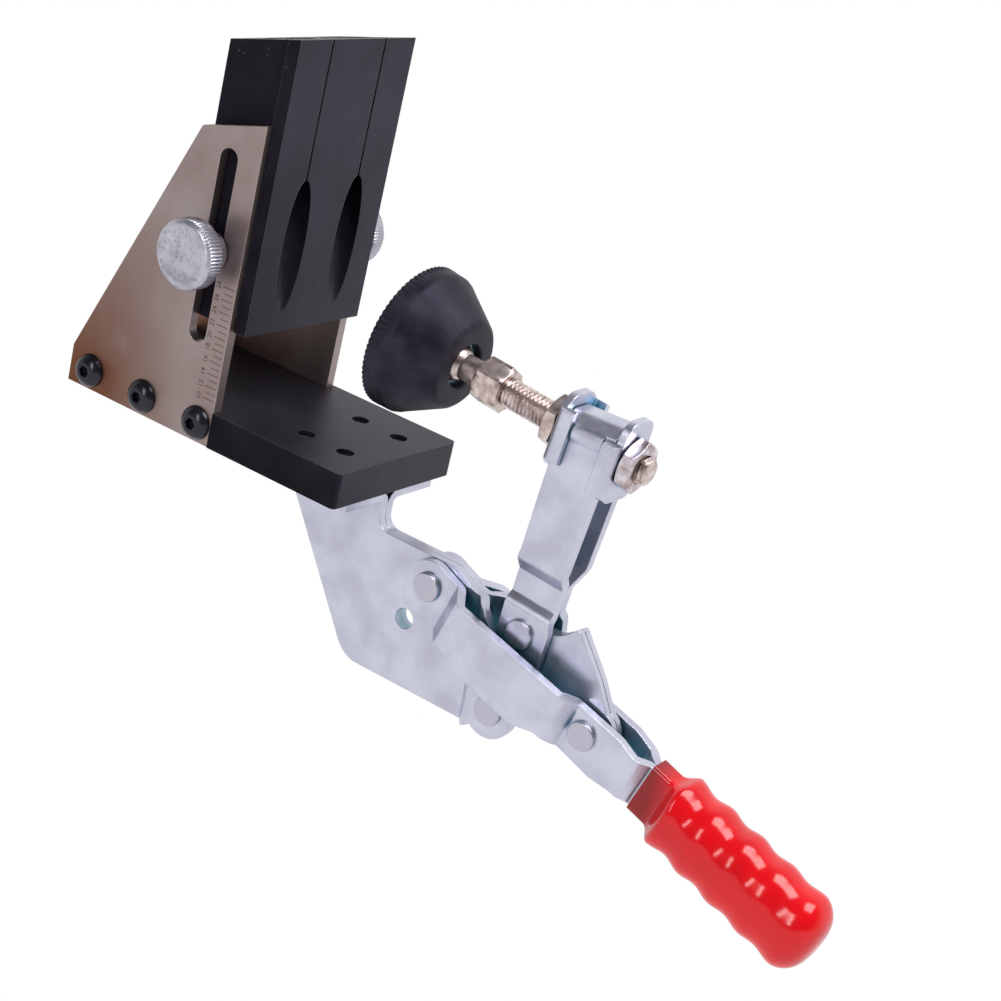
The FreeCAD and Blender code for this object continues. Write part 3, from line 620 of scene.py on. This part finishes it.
class Finishes(enum.Enum):
    """Every finish on the jig."""

    # Edge colours and amounts below lighten the edges: partly real wear, partly a painted highlight.
    ANODISED = BlackAnodisedAluminium(
        "black anodised aluminium, bead blasted", "131215", roughness=0.44,
        edge_radius=0.22, edge_wear_and_highlight_color="8E8B92", edge_wear_and_highlight=0.4)
    STAINLESS = BrushedStainless(
        "stainless steel sheet, brushed", "94817F", metallic=0.85, roughness=0.42,
        edge_radius=0.25, edge_wear_and_highlight_color="D8CFCC", edge_wear_and_highlight=0.5)
    ZINC = ZincPlatedSteel(
        "steel sheet, bright zinc plated", "D0D1E0", metallic=0.9, roughness=0.32,
        edge_radius=0.35, edge_wear_and_highlight_color="F2F2F8", edge_wear_and_highlight=0.5)
    RIVET = ZincPlatedSteel(
        "steel rivet, bright zinc plated", "BDB9C6", metallic=0.9, roughness=0.3,
        edge_radius=0.3, edge_wear_and_highlight_color="F2F2F8", edge_wear_and_highlight=0.4)
    BLACK_OXIDE = BlackOxideSteel(
        "steel screw, black oxide", "2A2830", metallic=0.7, roughness=0.24, edge_radius=0.15)
    NICKEL = WarmNickelPlate(
        "steel thread, nickel plated", "E6D5D1", metallic=0.9, roughness=0.3,
        edge_radius=0.25, edge_wear_and_highlight_color="EADFDB", edge_wear_and_highlight=0.4)
    # Grey painted shade in the nut's grooves.
    NUT = WarmNickelPlate(
        "steel nut, bright plated", "E2DEE8", metallic=0.9, roughness=0.28,
        edge_radius=0.25, edge_wear_and_highlight_color="F2F2F8", edge_wear_and_highlight=0.4, painted_groove_shade="4C4A52")
    KNOB = TurnedNickel(
        "turned steel knob, nickel plated", "C2C0CC", metallic=0.9, roughness=0.34,
        edge_radius=0.2, edge_wear_and_highlight_color="F4F4FA", edge_wear_and_highlight=0.4)
    # Grey painted shade in the bush's hollows.
    BUSH = WarmNickelPlate(
        "hardened drill bush, ground steel", "9EA0A6", metallic=1.0, roughness=0.25,
        edge_radius=0.2, painted_groove_shade="4A4A50")
    VINYL = GlossyVinyl(
        "vinyl, dip moulded, glossy red", "DA0A15", roughness=0.17, edge_radius=0.4)
    RUBBER = MouldedRubber(
        "rubber, compression moulded, black", "16151A", roughness=0.5,
        edge_radius=0.4, edge_wear_and_highlight_color="6E6B74", edge_wear_and_highlight=0.3)
    INK = EngravedInk("etched numbers, darkened", "3A2C28", roughness=0.7, edge_radius=0.02)
    LINE = EngravedInk("etched lines, worn", "6B5A57", metallic=0.2, roughness=0.6, edge_radius=0.02)

    def dress(self, *objects: bpy.types.Object) -> None:
        """Give this finish to objects."""
        self.value.dress(*objects)


# ---------------------------------------------------------------- meshes

def object_from(mesh: bmesh.types.BMesh, name: str, smooth_angle: float = 35.0) -> bpy.types.Object:
    """Turn built geometry into a scene object with smooth shading below an angle.

    Args:
        mesh: The geometry, in metres.
        name: Name of the object.
        smooth_angle: Largest angle, in degrees, that is shaded smooth.

    Returns:
        The linked object.
    """
    bmesh.ops.recalc_face_normals(mesh, faces=mesh.faces)
    for edge in mesh.edges:
        edge.smooth = len(edge.link_faces) == 2 and edge.calc_face_angle(0.0) < math.radians(smooth_angle)
    for face in mesh.faces:
        face.smooth = True
    data = bpy.data.meshes.new(name)
    mesh.to_mesh(data)
    mesh.free()
    item = bpy.data.objects.new(name, data)
    bpy.context.scene.collection.objects.link(item)
    return item


def skin_rings(mesh: bmesh.types.BMesh, rings: Sequence[Sequence[Vector]]) -> None:
    """Join rings of points with quads, and cap both ends.

    Args:
        mesh: The geometry that gets the surface.
        rings: Rings with equal numbers of points, in metres.
    """
    made = [[mesh.verts.new(point) for point in ring] for ring in rings]
    count = len(made[0])
    for before, after in zip(made, made[1:]):
        for index in range(count):
            following = (index + 1) % count
            mesh.faces.new((before[index], before[following], after[following], after[index]))
    mesh.faces.new(made[0])
    mesh.faces.new(made[-1][::-1])


@dataclass(frozen=True)
class Place:
    """A local frame: an origin in metres and three unit directions in the row frame."""

    origin: Vector
    along: Vector
    side: Vector
    up: Vector

    def point(self, along: float, side: float = 0.0, up: float = 0.0) -> Vector:
        """Row-frame point in metres of local millimetre coordinates."""
        return self.origin + (self.along * along + self.side * side + self.up * up) * MM

    def ring(self, along: float, radius: Callable[[float], float], count: int) -> list[Vector]:
        """Ring of points round the local axis.

        Args:
            along: Distance along the axis.
            radius: Radius by angle in radians.
            count: Number of points.

        Returns:
            The points in the row frame.
        """
        angles = [2 * math.pi * n / count for n in range(count)]
        return [self.point(along, radius(a) * math.cos(a), radius(a) * math.sin(a)) for a in angles]


def spindle_place() -> Place:
    """Local frame on the spindle: origin at the ball, along toward the block.

    Returns:
        The frame.
    """
    along = Vector(JOINTS["spindle_depth"]["axis"])
    upward = Vector(JOINTS["carriage_slide"]["axis"])
    return Place(Vector(JOINTS["pad_tilt"]["pos_m"]), along, Vector((0, 1, 0)), upward)


# ---------------------------------------------------------------- sub-assemblies

@dataclass
class GuideJig:
    """Base plate, side plates, guide block and their screws."""

    plate_screws: int = 3
    plate_face: float = 26.0
    plate_front: float = -4.3
    tick_pitch: float = 1.753
    tick_first: float = 2.9
    tick_count: int = 19
    tick_edge: float = 0.7
    tick_long: float = 3.9
    tick_short: float = 3.0
    tick_width: float = 0.3
    tick_depth: float = 0.06
    digit_middle: float = 6.1
    digit_size: float = 2.1
    digit_depth: float = 0.03
    digit_from: int = 10

    def marks(self, side: Side) -> bpy.types.Object:
        """Scale on one side plate's outer face: ticks along its front edge.

        Args:
            side: The plate's side of the jig.

        Returns:
            One object that holds the ticks.
        """
        mesh = bmesh.new()
        for number in range(self.tick_count):
            length = self.tick_long if number % 2 == 0 else self.tick_short
            z = self.tick_first + number * self.tick_pitch
            size = Vector((length, self.tick_depth, self.tick_width)) * MM
            middle = self.plate_front - self.tick_edge - length / 2
            centre = Vector((middle, side.value * self.plate_face, z)) * MM
            place = Matrix.Translation(centre) @ Matrix.Diagonal((*size, 1))
            bmesh.ops.create_cube(mesh, size=1, matrix=place)
        return object_from(mesh, "scale_ticks_" + side.label)

    def numbers(self, side: Side) -> list[bpy.types.Object]:
        """Plain numbers set sideways beside every second tick.

        Args:
            side: The plate's side of the jig.

        Returns:
            The number objects.
        """
        made = []
        sign = side.value
        for step in range(0, self.tick_count, 2):
            text = bpy.data.curves.new("number", "FONT")
            text.body = str(self.digit_from + step)
            text.size = self.digit_size * MM
            text.extrude = self.digit_depth * MM
            text.align_x = text.align_y = "CENTER"
            item = bpy.data.objects.new("scale_number_%s_%d" % (side.label, step), text)
            bpy.context.scene.collection.objects.link(item)
            centre = Vector((self.plate_front - self.digit_middle, sign * self.plate_face,
                             self.tick_first + step * self.tick_pitch)) * MM
            sideways = Matrix(((0, sign, 0, 0), (0, 0, sign, 0), (1, 0, 0, 0), (0, 0, 0, 1)))
            item.matrix_world = Matrix.Translation(centre) @ sideways
            made.append(item)
        return made

    def build(self) -> None:
        """Dress the jig's pieces and add its scale."""
        nodes = frame["nodes"]
        Finishes.ANODISED.dress(nodes["base_plate"], nodes["guide_block"])
        Finishes.STAINLESS.dress(nodes["side_plate_near"], nodes["side_plate_far"])
        Finishes.BUSH.dress(nodes["drill_bush_near"], nodes["drill_bush_far"])
        for side in Side:
            for number in range(1, self.plate_screws + 1):
                Finishes.BLACK_OXIDE.dress(nodes["plate_screw_%s_%d" % (side.label, number)])
            marks, numbers = self.marks(side), self.numbers(side)
            Finishes.LINE.dress(marks)
            Finishes.INK.dress(*numbers)
            for item in [marks, *numbers]:
                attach(item, "jig_base")
        LOG.info("guide jig dressed, with %d ticks a side", self.tick_count)


@dataclass
class ThumbScrew:
    """Knurled thumb screw that locks the guide block."""

    head_radius: float = 9.5
    head_back: float = 32.0
    head_face: float = 38.0
    collar_radius: float = 5.5
    collar_back: float = 26.3
    shank_radius: float = 2.45
    tip: float = 15.2
    dish_radius: float = 7.2
    dish_depth: float = 0.12
    ridges: int = 62
    ridge_depth: float = 0.38
    ridge_power: float = 1.5
    points_per_ridge: int = 6
    chamfer: float = 0.7

    def build(self, side: Side) -> bpy.types.Object:
        """Make one screw.

        Args:
            side: The screw's side of the jig.

        Returns:
            The screw, riding on its own body.
        """
        name = side.label
        centre = Vector(JOINTS[name + "_knob_turn"]["pos_m"])
        centre.y = 0
        place = Place(centre, Vector((0, side.value, 0)), Vector((1, 0, 0)), Vector((0, 0, 1)))
        count = self.ridges * self.points_per_ridge

        def knurl(angle: float) -> float:
            """Radius of the knurled rim at an angle."""
            phase = (angle / (2 * math.pi) * self.ridges) % 1
            return self.head_radius - self.ridge_depth * abs(2 * phase - 1) ** self.ridge_power

        smooth = self.head_radius - self.ridge_depth
        face, back = self.head_face, self.head_back
        shank = [(self.tip, 0.6), (self.tip, self.shank_radius - 0.4), (self.tip + 0.5, self.shank_radius),
                 (self.collar_back, self.shank_radius), (self.collar_back, self.collar_radius - 0.3),
                 (self.collar_back + 0.3, self.collar_radius), (back, self.collar_radius),
                 (back, smooth - self.chamfer), (back + self.chamfer, smooth)]
        knurled = (back + self.chamfer + 0.15, face - self.chamfer - 0.15)
        end = [(face - self.chamfer, smooth), (face - 0.15, smooth - self.chamfer * 0.85),
               (face, smooth - self.chamfer - 0.25), (face, self.dish_radius),
               (face - self.dish_depth, self.dish_radius - 0.3), (face - self.dish_depth, 1.0)]
        rings = [place.ring(along, lambda _, r=radius: r, count) for along, radius in shank]
        rings += [place.ring(along, knurl, count) for along in knurled]
        rings += [place.ring(along, lambda _, r=radius: r, count) for along, radius in end]
        mesh = bmesh.new()
        skin_rings(mesh, rings)
        item = object_from(mesh, "thumb_screw_%s_knurled" % name, 40)
        Finishes.KNOB.dress(item)
        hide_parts("thumb_screw_" + name)
        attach(item, name + "_knob")
        LOG.info("thumb screw %s made with %d ridges", name, self.ridges)
        return item


@dataclass
class ToggleClamp:
    """Sheet-metal linkage of the clamp, and its rivets and screws."""

    sheet_nodes: tuple[str, ...] = (
        "clamp_frame_near", "clamp_frame_far", "arm_bar", "link_near", "link_far",
        "handle_plate_near", "handle_plate_far", "slot_washer_front", "slot_washer_back", "ball_cup")
    rivet_nodes: tuple[str, ...] = (
        "handle_pivot_rivet", "arm_pivot_rivet", "link_pivot_rivet", "handle_rivet_near",
        "handle_rivet_far", "link_barrel", "frame_screw_1", "frame_screw_2", "frame_screw_3",
        "frame_screw_4")

    def build(self) -> None:
        """Dress the clamp's plates, rivets, nuts and screws."""
        nodes = frame["nodes"]
        Finishes.ZINC.dress(*(nodes[name] for name in self.sheet_nodes))
        Finishes.RIVET.dress(*(nodes[name] for name in self.rivet_nodes))
        Finishes.NICKEL.dress(nodes["lock_nut"])
        Finishes.NUT.dress(nodes["end_nut"])
        LOG.info("clamp dressed")


@dataclass
class Spindle:
    """Ball-ended spindle with its hexagon and M8 thread."""

    ball_radius: float = 5.5
    ball_steps: int = 24
    neck_radius: float = 3.6
    hex_from: float = -10.2
    hex_to: float = -18.5
    hex_flats: float = 11.5
    thread_end: float = -63.8
    thread_radius: float = 3.95
    thread_root: float = 3.3
    thread_pitch: float = 1.25
    thread_overlap: float = 0.2
    flank_slope: float = 2.6
    root_flat: float = 0.15
    run_in: float = 1.0
    run_out: float = 0.8
    rings_per_turn: int = 8
    hex_chamfer: float = 0.7
    segments: int = 72

    def thread(self, mesh: bmesh.types.BMesh, place: Place) -> None:
        """Helical thread as one skinned surface.

        Args:
            mesh: The geometry that gets the thread.
            place: The spindle's frame.
        """
        start, end = self.hex_to + self.thread_overlap, self.thread_end
        steps = int((start - end) / self.thread_pitch * self.rings_per_turn)
        rings = []
        for step in range(steps + 1):
            along = start + (end - start) * step / steps

            def flank(angle: float, along: float = along) -> float:
                """Thread radius by angle at a distance, running out at both ends.

                Args:
                    angle: Angle round the spindle in radians.
                    along: Distance along the spindle.

                Returns:
                    The radius.
                """
                phase = (along / self.thread_pitch + angle / (2 * math.pi)) % 1
                crest = min(1.0, max(0.0, self.flank_slope * (0.5 - abs(phase - 0.5)) - self.root_flat))
                fade = min(1.0, (start - along) / self.run_in, (along - end) / self.run_out + 0.25)
                depth = (self.thread_radius - self.thread_root) * crest
                return self.thread_root + depth * max(0.0, fade)

            rings.append(place.ring(along, flank, self.segments))
        skin_rings(mesh, rings)

    def build(self) -> bpy.types.Object:
        """Make the spindle.

        Returns:
            The spindle, riding on its body.
        """
        place = spindle_place()
        mesh = bmesh.new()
        self.thread(mesh, place)
        corner = self.hex_flats / math.sqrt(3)

        def hexagon(angle: float) -> float:
            """Radius of the hexagon, with two flats facing the jig's sides."""
            sixth = math.pi / 3
            return self.hex_flats / 2 / math.cos((angle + sixth / 2) % sixth - sixth / 2)

        def trimmed(limit: float) -> Callable[[float], float]:
            """The hexagon's outline, no wider than a limit."""
            return lambda angle: min(hexagon(angle), limit)

        first, last = self.hex_from, self.hex_to
        stations = [(first, lambda _: 1.0), (first, trimmed(self.hex_flats / 2 - 0.1)),
                    (first - self.hex_chamfer, trimmed(corner)), (last + self.hex_chamfer, trimmed(corner)),
                    (last, trimmed(self.hex_flats / 2 - 0.1)), (last, lambda _: 1.0)]
        skin_rings(mesh, [place.ring(along, radius, self.segments) for along, radius in stations])
        ball = [(self.ball_radius * math.cos(t), self.ball_radius * math.sin(t))
                for t in [math.pi * n / self.ball_steps for n in range(1, self.ball_steps)]]
        neck_start = -math.sqrt(self.ball_radius ** 2 - self.neck_radius ** 2)
        profile = [p for p in ball if p[0] > neck_start]
        profile += [(neck_start, self.neck_radius), (first, self.neck_radius)]
        skin_rings(mesh, [place.ring(along, lambda _, r=radius: r, self.segments)
                          for along, radius in profile])
        item = object_from(mesh, "spindle_threaded", 40)
        Finishes.NICKEL.dress(item)
        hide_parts("spindle_stud")
        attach(item, "spindle")
        LOG.info("spindle made, thread pitch %.2f mm", self.thread_pitch)
        return item


@dataclass
class SwivelPad:
    """Rubber pad of the swivel foot, with a toothed rim."""

    face: float = 14.3
    rear: float = -4.1
    rim: float = 20.2
    band_from: float = 9.1
    band_radius: float = 20.0
    rear_radius: float = 11.5
    cone_from: float = -3.3
    cone_radius: float = 12.6
    opening: float = 6.4
    teeth: int = 76
    tooth_depth: float = 0.55
    notch_slope: float = 4.2
    points_per_tooth: int = 5
    socket_floor: float = 7.4

    def build(self) -> bpy.types.Object:
        """Make the pad.

        Returns:
            The pad, riding on its body.
        """
        place = spindle_place()
        count = self.teeth * self.points_per_tooth

        def toothed(radius: float, share: float) -> Callable[[float], float]:
            """Radius with notches cut into it.

            Args:
                radius: Radius of the teeth's tops.
                share: Share of the notches' full depth.

            Returns:
                The radius by angle.
            """
            def at(angle: float) -> float:
                """Radius at an angle in radians."""
                phase = (angle / (2 * math.pi) * self.teeth) % 1
                notch = max(0.0, 1 - abs(phase - 0.5) * self.notch_slope)
                return radius - self.tooth_depth * share * notch
            return at

        rear, face = self.rear, self.face
        # Distance along, radius, and share of the teeth's depth.
        outer = [(rear, self.opening + 0.4, 0), (rear, self.opening + 1.4, 0),
                 (rear, self.rear_radius - 0.5, 0), (rear + 0.15, self.rear_radius + 0.1, 0),
                 (self.cone_from - 0.2, self.cone_radius - 0.35, 0),
                 (self.cone_from + 0.3, self.cone_radius + 0.2, 0),
                 (self.band_from - 1.3, self.band_radius - 0.75, 0),
                 (self.band_from - 0.7, self.band_radius - 0.32, 0),
                 (self.band_from, self.band_radius - 0.05, 0), (self.band_from + 0.8, self.band_radius, 0),
                 (face - 1.9, self.rim - 0.1, 0), (face - 1.6, self.rim, 1), (face - 0.2, self.rim, 1),
                 (face, self.rim - 0.35, 1), (face, self.rim - 2.2, 1), (face - 0.3, self.rim - 2.5, 0),
                 (face - 0.3, 1.0, 0)]
        inner = [(self.socket_floor, 1.0), (6.0, 4.0), (4.0, self.opening - 0.6), (-0.2, self.opening),
                 (rear + 0.3, self.opening)]
        rings = [place.ring(along, lambda _, r=radius: r, count) for along, radius in inner]
        rings += [place.ring(along, toothed(radius, share), count) for along, radius, share in outer]
        mesh = bmesh.new()
        skin_rings(mesh, rings)
        item = object_from(mesh, "pressure_pad_rubber", 32)
        Finishes.RUBBER.dress(item)
        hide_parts("pressure_pad")
        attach(item, "pad")
        LOG.info("pad made with %d teeth", self.teeth)
        return item


@dataclass
class Grip:
    """Glossy vinyl grip over the handle's tang, waved for the fingers."""

    dip: float = 17.0
    start: float = 78.3
    end: float = 137.7
    across: float = -2.75
    droop: float = 0.026
    half_width: float = 10.0
    flare: float = 0.018
    half_depth: float = 9.6
    wave: float = 0.55
    wave_fade: float = 0.005
    wave_length: float = 10.5
    first_crest: float = 88.9
    neck_length: float = 5.8
    shoulder: float = 5.5
    neck_half_width: float = 7.8
    neck_half_depth: float = 3.6
    neck_squareness: float = 8.0
    squareness_drop: float = 5.7
    wave_depth_share: float = 0.7
    end_round: float = 7.5
    end_power: float = 2.6
    end_gap: float = 0.004
    body_rings: int = 96
    end_rings: int = 16
    segments: int = 64

    def section(self, place: Place, along: float) -> list[Vector]:
        """Closed outline of the grip at a distance along the handle.

        Args:
            place: The handle's frame.
            along: Distance from the handle's pivot.

        Returns:
            Points of the outline in the row frame.
        """
        past_neck = min(1.0, max(0.0, (along - self.start - self.neck_length) / self.shoulder))
        swell = past_neck * past_neck * (3 - 2 * past_neck)
        end = min(1.0, max(0.0, (along - self.end + self.end_round) / self.end_round))
        round_off = max(0.0, 1 - end ** self.end_power) ** (1 / self.end_power)
        from_crest = along - self.first_crest
        phase = 2 * math.pi * from_crest / self.wave_length
        wave = (self.wave - self.wave_fade * from_crest) * math.cos(phase)
        wide = (self.half_width + self.flare * from_crest + wave) * round_off
        deep = (self.half_depth + wave * self.wave_depth_share) * round_off
        wide = self.neck_half_width + (wide - self.neck_half_width) * swell
        deep = self.neck_half_depth + (deep - self.neck_half_depth) * swell
        power = 2 / (self.neck_squareness - self.squareness_drop * swell)
        middle = self.across - self.droop * from_crest
        points = []
        for step in range(self.segments):
            angle = 2 * math.pi * (step + 0.5) / self.segments
            cosine, sine = math.cos(angle), math.sin(angle)
            points.append(place.point(along, deep * math.copysign(abs(sine) ** power, sine),
                                      middle + wide * math.copysign(abs(cosine) ** power, cosine)))
        return points

    def build(self) -> bpy.types.Object:
        """Make the grip.

        Returns:
            The grip, riding on the handle.
        """
        turn = math.radians(self.dip)
        place = Place(Vector(JOINTS["handle_swing"]["pos_m"]), Vector((math.cos(turn), 0, -math.sin(turn))),
                      Vector((0, 1, 0)), Vector((math.sin(turn), 0, math.cos(turn))))
        length = self.end - self.start
        body = length - self.end_round
        steps = [self.start + body * n / self.body_rings for n in range(self.body_rings + 1)]
        steps += [self.end - self.end_round * (1 - math.sin(math.pi / 2 * n / self.end_rings))
                  for n in range(1, self.end_rings)]
        steps.append(self.end - self.end_gap)
        mesh = bmesh.new()
        skin_rings(mesh, [self.section(place, along) for along in steps])
        item = object_from(mesh, "grip_vinyl", 50)
        Finishes.VINYL.dress(item)
        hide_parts("grip")
        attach(item, "handle")
        LOG.info("grip made, %.1f mm long", length)
        return item


# ---------------------------------------------------------------- studio

@dataclass
class Studio:
    """Pale floor, soft lamps, plain surroundings and the camera."""

    focal: float = 78.174
    sensor: float = 36.0
    # Metres.
    clip_end: float = 20.0
    azimuth: float = 29.553
    elevation: float = 21.007
    roll: float = 13.744
    distance: float = 536.164
    target: tuple[float, float, float] = (88.097, -26.009, 12.739)
    floor_drop: float = 60.0
    floor_half: float = 6000.0
    floor_color: str = "F7F7F8"
    sky: float = 0.38
    sky_color: str = "F6F6FA"
    room: str = "4A4A50"
    room_side: tuple[float, float, float] = (0.3, -0.65, 0.7)
    room_edge: Span = (-0.1, 0.55)
    lamp_aim: tuple[float, float, float] = (60.0, 0.0, 0.0)
    key_at: tuple[float, float, float] = (0.0, -760.0, 330.0)
    key_size: tuple[float, float] = (140.0, 520.0)
    key_watts: float = 2.4
    top_at: tuple[float, float, float] = (420.0, 120.0, 760.0)
    top_size: tuple[float, float] = (520.0, 520.0)
    top_watts: float = 7.5

    def camera(self) -> None:
        """Camera that looks down on the jig from its near side, tipped about its own axis."""
        azimuth, elevation, roll = (math.radians(v) for v in (self.azimuth, self.elevation, self.roll))
        forward = Vector((-math.sin(azimuth) * math.cos(elevation), math.cos(azimuth) * math.cos(elevation),
                          -math.sin(elevation)))
        level = Vector((math.cos(azimuth), math.sin(azimuth), 0))
        upright = level.cross(forward)
        right = level * math.cos(roll) + upright * math.sin(roll)
        up = upright * math.cos(roll) - level * math.sin(roll)
        data = bpy.data.cameras.new("camera")
        data.lens = self.focal
        data.sensor_width = self.sensor
        data.clip_end = self.clip_end
        item = bpy.data.objects.new("camera", data)
        turn = Matrix((right, up, -forward)).transposed().to_4x4()
        item.matrix_world = Matrix.Translation((Vector(self.target) - forward * self.distance) * MM) @ turn
        bpy.context.scene.collection.objects.link(item)
        bpy.context.scene.camera = item

    def white_to_camera(self, tree: Tree, shader: Socket) -> Socket:
        """Show white to the camera, to gloss and through glass, and the given shader to all else.

        Args:
            tree: The node tree.
            shader: What the other rays meet.

        Returns:
            The mixed shader.
        """
        path = add_node(tree, "LightPath")
        seen = add_node(tree, "Math", {0: path.outputs["Is Camera Ray"], 1: path.outputs["Is Glossy Ray"]},
                        operation="MAXIMUM").outputs[0]
        seen = add_node(tree, "Math", {0: seen, 1: path.outputs["Is Transmission Ray"]},
                        operation="MAXIMUM").outputs[0]
        white = add_node(tree, "Emission", {"Color": WHITE, "Strength": 1.0}).outputs[0]
        return add_node(tree, "MixShader", {0: seen, 1: shader, 2: white}).outputs[0]

    def world(self) -> None:
        """White backdrop behind the jig, and a darker room above and on the side it is viewed from."""
        world = bpy.data.worlds.new("studio")
        world.use_nodes = True
        tree = world.node_tree
        tree.nodes.clear()
        direction = add_node(tree, "TexCoord").outputs["Generated"]
        toward_room = add_node(tree, "VectorMath", {0: direction, 1: self.room_side},
                               operation="DOT_PRODUCT").outputs["Value"]
        around = two_tone(tree, toward_room, self.room_edge, WHITE, linear(self.room))
        path = add_node(tree, "LightPath")
        mirrored = add_node(tree, "Math", {0: path.outputs["Is Glossy Ray"],
                                           1: path.outputs["Is Transmission Ray"]},
                            operation="MAXIMUM").outputs[0]
        sky = add_node(tree, "Background", {"Color": linear(self.sky_color), "Strength": self.sky})
        seen = add_node(tree, "Background", {"Color": around, "Strength": 1.0})
        white = add_node(tree, "Background", {"Color": WHITE, "Strength": 1.0})
        surface = add_node(tree, "MixShader", {0: mirrored, 1: sky.outputs[0], 2: seen.outputs[0]})
        surface = add_node(tree, "MixShader", {0: path.outputs["Is Camera Ray"], 1: surface.outputs[0],
                                               2: white.outputs[0]})
        add_node(tree, "OutputWorld", {"Surface": surface.outputs[0]})
        bpy.context.scene.world = world

    def floor(self) -> None:
        """Plain pale floor well below the jig, which keeps a soft shadow."""
        lowest = CAD_BOX[0][2]
        mesh = bmesh.new()
        bmesh.ops.create_grid(mesh, x_segments=1, y_segments=1, size=self.floor_half * MM)
        item = object_from(mesh, "floor")
        item.location.z = lowest - self.floor_drop * MM
        material = bpy.data.materials.new("floor, matt white card")
        material.use_nodes = True
        tree = material.node_tree
        tree.nodes.clear()
        card = add_node(tree, "BsdfDiffuse", {"Color": linear(self.floor_color)}).outputs[0]
        add_node(tree, "OutputMaterial", {"Surface": self.white_to_camera(tree, card)})
        item.data.materials.append(material)

    def lamp(self, name: str, at: Sequence[float], size: Sequence[float], power: float) -> None:
        """Soft box aimed at the jig.

        Args:
            name: The lamp's name.
            at: Place in millimetres.
            size: Width and height in millimetres.
            power: Watts.
        """
        data = bpy.data.lights.new(name, "AREA")
        data.shape = "RECTANGLE"
        data.size, data.size_y = (v * MM for v in size)
        data.energy = power
        item = bpy.data.objects.new(name, data)
        place = Vector(at) * MM
        aim = (Vector(self.lamp_aim) * MM - place).to_track_quat("-Z", "Y")
        item.matrix_world = Matrix.Translation(place) @ aim.to_matrix().to_4x4()
        bpy.context.scene.collection.objects.link(item)

    def build(self) -> None:
        """Set up the studio."""
        self.camera()
        self.world()
        self.floor()
        self.lamp("key", self.key_at, self.key_size, self.key_watts)
        self.lamp("top", self.top_at, self.top_size, self.top_watts)
        bpy.context.scene.view_settings.view_transform = "Standard"
        LOG.info("studio ready")


def main() -> None:
    """Build every sub-assembly in order."""
    logging.basicConfig(level=logging.INFO, format="%(message)s")
    Studio().build()
    GuideJig().build()
    for side in Side:
        ThumbScrew().build(side)
    ToggleClamp().build()
    Spindle().build()
    SwivelPad().build()
    Grip().build()


if __name__ == "__main__":
    main()
